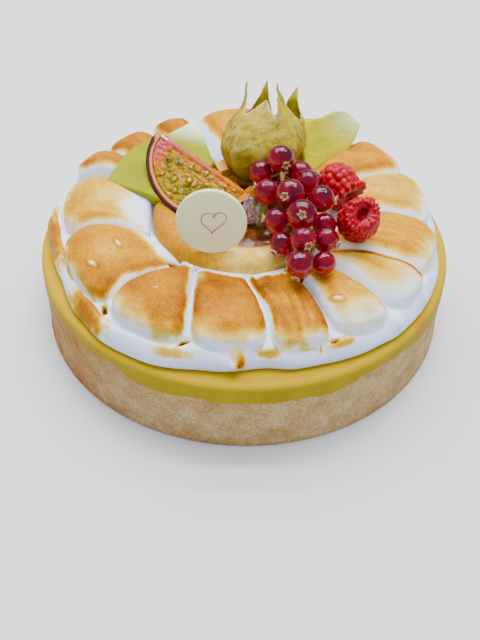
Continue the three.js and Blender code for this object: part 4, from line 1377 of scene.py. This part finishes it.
def golden_berry():
    """Golden berry: a taut, glossy orange skin over juicy flesh."""
    return painted(
        "golden berry", [((5,), [(0.3, "D98A12"), (0.7, "EDAA2C")])], Roughness=0.25, Coat_Weight=0.4,
        Subsurface_Weight=0.3, Subsurface_Radius=(0.004, 0.002, 0.0005),
    )


def ball_rows(radius, axis, columns=40, steps=28, flatten=1.0):
    """Rows of a ball about its own centre, with its poles along an axis."""
    up, side, other = across_axis(axis)
    turn = np.linspace(0.04, np.pi - 0.04, steps)[:, None, None]
    return radius * (np.sin(turn) * hoop(full_turn(columns), side, other) - flatten * np.cos(turn) * up)


def make_golden_berry():
    berry = skin("golden_berry", ball_rows(BERRY_RADIUS, (0.2, 0.4, 0.9)) + BERRY_AT)
    finished(dressed(berry, golden_berry()), "physalis_berry")


# The melon slices, mango dice and pistachios, cut pieces with soft, moist faces

def melon_flesh(name, tones):
    """Melon: moist, yellow-green and watery, with light that soaks into it and fine fibres."""
    return painted(
        # The pale layer is a painted highlight on the right slice, and a paler back on the left slice.
        name, [((11, 5), tones), (None, "F0F2BE", "MIX", "pale")],
        relief=(0.05, 2.2, 4), Roughness=0.45, Specular_IOR_Level=0.08,
        Subsurface_Weight=0.12, Subsurface_Radius=(0.003, 0.004, 0.001),
    )


def mango_flesh():
    """Mango: wet, deep yellow-orange flesh with soft fibres."""
    return painted(
        "mango flesh", [((3, 4), [(0.3, "C87400"), (0.5, "E08E00"), (0.7, "F0AA10")])],
        relief=(0.2, 1.2), Roughness=0.2, Coat_Weight=0.4,
        Subsurface_Weight=0.35, Subsurface_Radius=(0.004, 0.002, 0.0004),
    )


def pistachio():
    """Pistachio: a matt green kernel under a thin, streaked mauve and white skin."""
    skin_tones = [(0.36, "4A2436"), (0.48, "93707F"), (0.58, "C9BBBB"), (0.7, "E2DDD2")]
    return painted(
        "pistachio", [
            ((2.5, 5), [(0.3, "3E4A12"), (0.5, "667420"), (0.7, "8C9A3A")]),
            ((1.6, 6, 0.75), skin_tones, "MIX", "skinned"),
        ],
        relief=(0.15, 0.9, 4), Roughness=0.5,
    )


def make_cut_piece(node, name, voxel, relief, material, attribute=None, reader=None):
    """A node's solid with uneven, softened faces, and an attribute read from its points."""
    piece = dressed(solid_copy(node, name, voxel), material)
    points, outward = positions(piece.data), normals(piece.data)
    dent = np.abs(ripple(points, 5, seed=6.0)) + 0.4 * np.abs(ripple(points, 1.6, seed=2.0))
    move_points(piece.data, points - outward * (relief * dent)[:, None])
    if attribute:
        set_attribute(piece.data, attribute, np.clip(reader(points), 0, 1))
    finished(piece, node)


def make_cut_fruit():
    deep = melon_flesh("melon flesh", [(0.3, "808600"), (0.5, "8C9000"), (0.7, "989A00")])
    light = melon_flesh("pale melon flesh", [(0.3, "B6B200"), (0.5, "C2BC04"), (0.7, "D0CA1A")])
    make_cut_piece(
        "melon_slice_left", "melon_slice_back_left", 0.5, 0.2, deep,
        "pale", lambda p: 0.9 * smooth(36, 50, p[:, 1] + 0.35 * p[:, 0] + 9),
    )
    # Painted highlight: a pale glare high on the right of this slice.
    make_cut_piece(
        "melon_slice_right", "melon_slice_back_right", 0.45, 0.2, light,
        "pale", lambda p: 0.8 * np.exp(-((p[:, 0] - 51) / 10) ** 2 - ((p[:, 2] - 67) / 6) ** 2),
    )
    mango, nut = mango_flesh(), pistachio()
    for i in (1, 2):
        make_cut_piece(f"mango_piece_{i}", f"mango_dice_{i}", 0.3, 0.25, mango)
    make_cut_piece(
        "pistachio_left", "pistachio_kernel_left", 0.22, 0.3, nut,
        "skinned", lambda p: 1 - smooth(2.2, 4.6, p[:, 0] + 0.5 * ripple(p, 3)),
    )
    make_cut_piece(
        "pistachio_right", "pistachio_kernel_right", 0.22, 0.3, nut,
        "skinned", lambda p: 1 - smooth(4.6, 6.4, p[:, 0] + 0.6 * ripple(p, 3)),
    )


# The raspberries: drupelets set round a hollow body, in a frame where the hollow opens to +Z.
# Bead is half a drupelet's width, stretch how long it is for its width, and pitch the step from
# one to the next, in beads. The slit is the way that the hollow is drawn out, and narrow how much
# is left across it.

RASPBERRIES = [
    dict(
        at=(46.5, -20.5, 62.5), opening=(0.13, -0.52, 0.84), radius=8.8, length=18,
        bead=1.55, stretch=1.7, pitch=1.4, slit=math.radians(59), narrow=0.45,
    ),
    dict(
        at=(39.9, 8.4, 61.5), opening=(0.58, -0.74, -0.335), radius=8.4, length=17,
        bead=2.1, stretch=1.08, pitch=1.5, slit=0, narrow=1,
    ),
]


def raspberry_flesh():
    """Raspberry: juicy red that glows where light passes, with painted shade between the drupelets and in
    the hollow, bloomed.
    """
    return painted(
        "raspberry", [
            ((3.5, 4), [(0.3, "94000E"), (0.5, "AC0018"), (0.7, "C60A28")]),
            # Painted shade: the crease layer darkens the seams and the hollow.
            (None, "5E0008", "MIX", "crease"),
        ],
        relief=(0.08, 0.7, 4), Roughness=0.4, Specular_IOR_Level=0.1, Coat_Weight=0.3,
        Coat_Roughness=0.18, Subsurface_Weight=0.15, Subsurface_Radius=(0.003, 0.0004, 0.0003),
    )


def raspberry_reach(part, radius):
    """How far a berry reaches from its axis, from its tip at part 0 to its opening at part 1."""
    return radius * np.sin(np.pi * (part * 0.62) ** 0.62) ** 0.7


def drawn_out(spin, share, slit, narrow):
    """Directions round the hollow, drawn together across the slit towards its middle."""
    left = mix(narrow, 1, smooth(0.35, 1, share))
    along, across = np.cos(spin - slit), left * np.sin(spin - slit)
    c, s = math.cos(slit), math.sin(slit)
    return np.stack([along * c - across * s, along * s + across * c], axis=-1)


def creases(points, centres, facings, alongs, sizes):
    """How near each point is to a seam between two beads, from 0 to 1."""
    up = unit(facings)
    ahead = unit(alongs - up * np.sum(alongs * up, axis=1, keepdims=True))
    side = np.cross(up, ahead)
    offset = points[:, None, :] - centres[None, :, :]
    squares = [
        (np.einsum("ijk,jk->ij", offset, axis) / sizes[:, i]) ** 2
        for i, axis in enumerate((ahead, side, up))
    ]
    nearest = np.sort(np.sqrt(sum(squares)), axis=1)
    return 1 - smooth(0, 0.3, nearest[:, 1] - nearest[:, 0])


def drupelet_places(number, radius, length, bead, stretch, pitch, slit, narrow):
    """Every drupelet's place, the way it faces, the way of its long side, and its half sizes."""
    found = []
    rng = random.Random(20 + number)
    rings = max(4, round(length * 1.25 / (bead * pitch * stretch)))
    for k in range(rings):
        part = 0.04 + 0.93 * k / (rings - 1)
        reach = raspberry_reach(part, radius)
        ahead = raspberry_reach(min(1, part + 0.02), radius)
        slope = unit(np.array([-0.5, 1] if part > 0.96 else [ahead - reach, 0.02 * length + 1e-6]))
        count = max(1, round(2 * math.pi * max(reach - bead * 0.5, 0.5) / (bead * pitch)))
        for i in range(count):
            spin = 2 * math.pi * (i + 0.5 * (k % 2)) / count + rng.uniform(-0.1, 0.1)
            c, s = math.cos(spin), math.sin(spin)
            outward = np.array([c * slope[1], s * slope[1], -slope[0]])
            grow = rng.uniform(0.85, 1.15)
            place = np.array([c * reach, s * reach, (part - 0.5) * length])
            place -= outward * bead * rng.uniform(0.75, 0.95)
            size = (bead * stretch * grow, bead * 0.98 * grow, bead * 0.95)
            found.append((place, outward, (c * slope[0], s * slope[0], slope[1]), size))
    count = round(math.pi * radius / (bead * 0.88))
    for i in range(count):
        spin = 2 * math.pi * i / count + rng.uniform(-0.05, 0.05)
        for share, drop, tilt in ((0.66, 0.45, 0.3), (0.42, 2.1, 0.9)):
            x, y = drawn_out(spin, share, slit, narrow)
            place = (x * radius * share, y * radius * share, length / 2 - bead * drop)
            size = (bead * 1.9, bead * 0.7, bead * 0.8)
            found.append((place, (-x * tilt, -y * tilt, 1), (x, y, tilt), size))
    return [np.array(values, float) for values in zip(*found)]


def make_raspberry(number, material, at, opening, radius, length, bead, stretch, pitch, slit, narrow):
    turn = np.array(Vector(UP).rotation_difference(Vector(opening)).to_matrix()).T
    angle = full_turn(40)
    rows = []
    for part in np.linspace(0.03, 1, 24):
        reach = np.maximum(0.8, raspberry_reach(part, radius) - 1.1)
        rows.append(polar(reach, angle, (part - 0.5) * length + 0.8 * (1 - part)))
    for share, depth in ((0.6, 0.6), (0.4, 1.8), (0.3, 3), (0.22, 4.5), (0.12, 6)):
        around_hollow = drawn_out(angle, share, slit, narrow) * radius * share
        rows.append(np.column_stack([around_hollow, np.full(len(angle), length / 2 - depth)]))
    body = skin(f"body {number}", np.array(rows) @ turn + at)

    places, facings, alongs, sizes = drupelet_places(
        number, radius, length, bead, stretch, pitch, slit, narrow,
    )
    places, facings, alongs = places @ turn + at, facings @ turn, alongs @ turn
    drupelets = beads(f"drupelets {number}", places, facings, alongs, sizes, 0.12, material)
    whole = joined(f"raspberry_berry_{number}", [dressed(body, material), drupelets])
    raspberry = dressed(fused(whole, 0.26, 5), material)
    seams = creases(positions(raspberry.data), places, facings, alongs, sizes)
    own = (positions(raspberry.data) - at) @ turn.T
    far = np.hypot(own[:, 0], own[:, 1]) / radius
    hollow = (1 - smooth(0.15, 0.5, far)) * smooth(0.1, 0.3, own[:, 2] / length)
    # Painted shade: darker in the seams between the drupelets and deep in the hollow.
    set_attribute(raspberry.data, "crease", np.maximum(0.6 * seams, 0.85 * hollow))
    finished(raspberry, f"raspberry_{number}")


# The redcurrants of one strig: centre, radius and the way the dried flower end points

CURRANTS = [
    ((14.5, 7.5, 73.5), 5.8, (0.35, -0.95, 0.1)), ((6.5, 8.5, 65.5), 5.4, None),
    ((23.5, 9, 65), 5.5, None), ((9, -5.5, 65.5), 5.6, (-0.9, 0.15, 0.3)),
    ((18.5, -12.5, 70), 6.2, (-0.4, -0.85, 0.4)), ((31.5, -11.5, 67), 5.8, (0.95, -0.3, 0.1)),
    ((23, -24.5, 68.5), 6.4, (-0.05, -0.8, 0.6)), ((13, -21, 62.5), 5.3, (-0.98, 0, 0.15)),
    ((33, -20, 60), 5, None), ((33, -31, 61), 5.4, (0.8, -0.55, 0)),
    ((15.5, -31.5, 58.5), 5.3, (-0.6, -0.75, -0.2)), ((23.5, -36, 64.5), 5.5, (0.3, -0.95, 0.25)),
    ((22, -47, 61), 5.7, (-0.25, -0.85, -0.5)), ((32, -42.5, 58.5), 4.7, None),
    ((15.5, 12.5, 59), 4.9, None), ((27, 2, 57.5), 4.9, None),
    ((22, -12, 57), 4.9, None), ((26, -1.5, 68), 5.4, (0.75, 0.45, 0.5)),
]
STRIG = [(15.2, 1.5, 70.5), (16, -3.5, 66), (18.5, -8, 60.5), (25, -15, 61), (26, -28, 56)]

# The way that the flower end of a berry points where it doesn't show
HIDDEN_END = (0.2, -0.3, 0.9)


def settled():
    """The berries' centres after those that touch have moved apart."""
    centres = np.array([at for at, _, _ in CURRANTS], float)
    radii = [radius for _, radius, _ in CURRANTS]
    for _ in range(200):
        for i, j in itertools.combinations(range(len(centres)), 2):
            apart = centres[j] - centres[i]
            distance = np.linalg.norm(apart)
            lack = max(0, radii[i] + radii[j] + GAP + 0.02 - distance)
            push = apart / distance * lack / 2
            centres[j] += push
            centres[i] -= push
    return centres


def currant_skin():
    """Redcurrant: a taut, glassy ruby skin with fine pale meridians, and a painted glow that makes it
    brighter towards the bottom, as where light passes.
    """
    return painted(
        # The glow is painted light: brighter red lower down, as where light passes through.
        "redcurrant", [("glow", [(0, "42001A"), (0.3, "720018"), (0.6, "A6001A"), (1, "D60020")])],
        Roughness=0.4, Specular_IOR_Level=0.0, Coat_Weight=1.0, Coat_Roughness=0.01,
        Subsurface_Weight=0.1, Subsurface_Radius=(0.002, 0.0002, 0.0002),
    )


def dried_flower():
    """Dried flower end: brittle, tan lobes round a dark middle."""
    return painted(
        "dried flower end",
        [((1,), [(0.35, "A87848"), (0.65, "D9B07C")]), (None, "2E1610", "MIX", "dark")], Roughness=0.75,
    )


def green_stem():
    """Fresh stem: green with brownish knots, smooth and faintly waxy."""
    return painted(
        "green stem", [((4, 4), [(0.35, "6E6A22"), (0.55, "8C8A34"), (0.75, "A9A356")])],
        relief=(0.1, 1.2), Roughness=0.45,
    )


def flower_end(centre, radius, toward):
    """Five dried lobes in a cup on a berry's end."""
    up, side, other = across_axis(toward)
    turn = full_turn(40)
    lobe = np.abs(np.cos(2.5 * turn)) ** 0.9
    frayed = 1 + 0.14 * np.sin(7 * turn + radius * 5) + 0.08 * np.sin(11 * turn + radius * 9)
    rows, dark = [], []
    for out, spread, height, rise, shade in (
        (1.1, 0, -0.5, 0, 0.3), (1.25, 0.1, 0.1, 0, 0.2), (1.2, 0.55, 0.35, 0.15, 0),
        (1.15, 0.8, 0.45, 0.4, 0), (1.0, 0.65, 0.5, 0.35, 0), (0.85, 0.2, 0.35, 0.1, 0.35),
        (0.55, 0, 0.15, 0, 0.9), (0.3, 0, 0.25, 0, 0.7), (0.12, 0, 0.5, 0, 0.2),
    ):
        level = radius + height + rise * lobe
        reach = (out + spread * lobe) * frayed
        rows.append(centre + level[:, None] * up + reach[:, None] * hoop(turn, side, other))
        dark.append(shade + 0 * turn)
    return skin("flower end", rows, {"dark": dark})


def make_currants():
    berry_skin, flower_material = currant_skin(), dried_flower()
    centres = settled()
    for number, (centre, (_, radius, flower)) in enumerate(zip(centres, CURRANTS), start=1):
        rows = ball_rows(radius - 0.02, flower or HIDDEN_END, columns=48, steps=32, flatten=0.985)
        meridian = np.abs(np.cos(6 * full_turn(48))) ** 10
        cloud = 0.25 * ripple(rows + centre, 5, seed=3.0, octaves=2)
        # Painted glow: brighter towards the bottom of each berry, as where light passes through it.
        glow = np.clip(0.5 - 0.45 * rows[..., 2] / radius + 0.12 * meridian + cloud, 0, 1)
        pieces = [dressed(skin("berry", rows + centre, {"glow": glow}), berry_skin)]
        if flower:
            pieces.append(dressed(flower_end(centre, radius, flower), flower_material))
        finished(joined(f"redcurrant_berry_{number}", pieces), f"redcurrant_{number}")
    return centres


def make_strig(centres):
    path = through(STRIG, 60)
    stems = [tube("main stem", path, 0.95 + 0.12 * np.sin(np.linspace(0, 30, 60)), sides=14)]
    for centre, (_, radius, flower) in zip(centres, CURRANTS):
        away = unit(np.array(flower or HIDDEN_END))
        root = centre - away * (radius - 0.4)
        nearest = path[np.argmin(np.linalg.norm(path - root, axis=1))]
        bow = (root + nearest) / 2 - away * 1.2
        stems.append(tube("stalk", through([nearest, bow, root], 14), 0.36, sides=8))
    material = green_stem()
    strig = joined("currant_strig", [dressed(stem, material) for stem in stems])
    finished(strig, "redcurrant_stem")


torched = toasted_meringue()
make_crust()
make_mango_layer()
make_meringue(torched)
make_ring(torched)
make_jelly()
make_coin()
make_rind()
make_pulp()
make_husk()
make_golden_berry()
make_cut_fruit()
drupelet_flesh = raspberry_flesh()
for number, raspberry in enumerate(RASPBERRIES, start=1):
    make_raspberry(number, drupelet_flesh, **raspberry)
make_strig(make_currants())


# The floor and the studio light

def pale_paper():
    """Pale paper: matt and even, so that only the cake's soft shadow shows on it."""
    return new_material("pale paper", Base_Color=colour("E4E2DE"), Roughness=0.6)[0]


def make_floor():
    reach, below = 3000, -0.3
    corners = [(x * reach, y * reach, below) for x, y in ((-1, -1), (1, -1), (1, 1), (-1, 1))]
    floor = new_object("floor", new_mesh("floor", corners, faces=[(0, 1, 2, 3)]))
    dressed(floor, pale_paper())


def make_light(name, at, size, power, code, mirrored):
    """A soft light at a place in metres, turned to the cake; mirrored ones show in glossy skins."""
    data = bpy.data.lights.new(name, "AREA")
    data.shape = "RECTANGLE"
    data.size, data.size_y = size
    data.energy = power
    data.color = colour(code)[:3]
    light = bpy.data.objects.new(name, data)
    bpy.context.scene.collection.objects.link(light)
    light.location = at
    toward = Vector((0, 0, 0.04)) - Vector(at)
    light.rotation_euler = toward.to_track_quat("-Z", "Y").to_euler()
    light.visible_glossy = mirrored


def make_world():
    world = bpy.data.worlds.new("studio")
    world.use_nodes = True
    background = world.node_tree.nodes["Background"]
    background.inputs["Color"].default_value = colour("B0CCFF")
    background.inputs["Strength"].default_value = 0.5
    bpy.context.scene.world = world


make_floor()
make_light("overhead softbox", (0.1, 0, 1.15), (0.6, 0.5), 9.5, "FFFDFA", False)
make_light("back softbox", (-0.6, 0.6, 0.6), (0.5, 0.5), 3, "F2F6FF", False)
make_light("front fill", (0.2, -0.95, 1.0), (0.7, 0.5), 7.5, "E2ECFF", False)
for place in (0.22, 0.54, 0.9):
    make_light("tube", (0, place, 0.98), (1.5, 0.014), 8.5, "FFFDFA", True)
make_world()
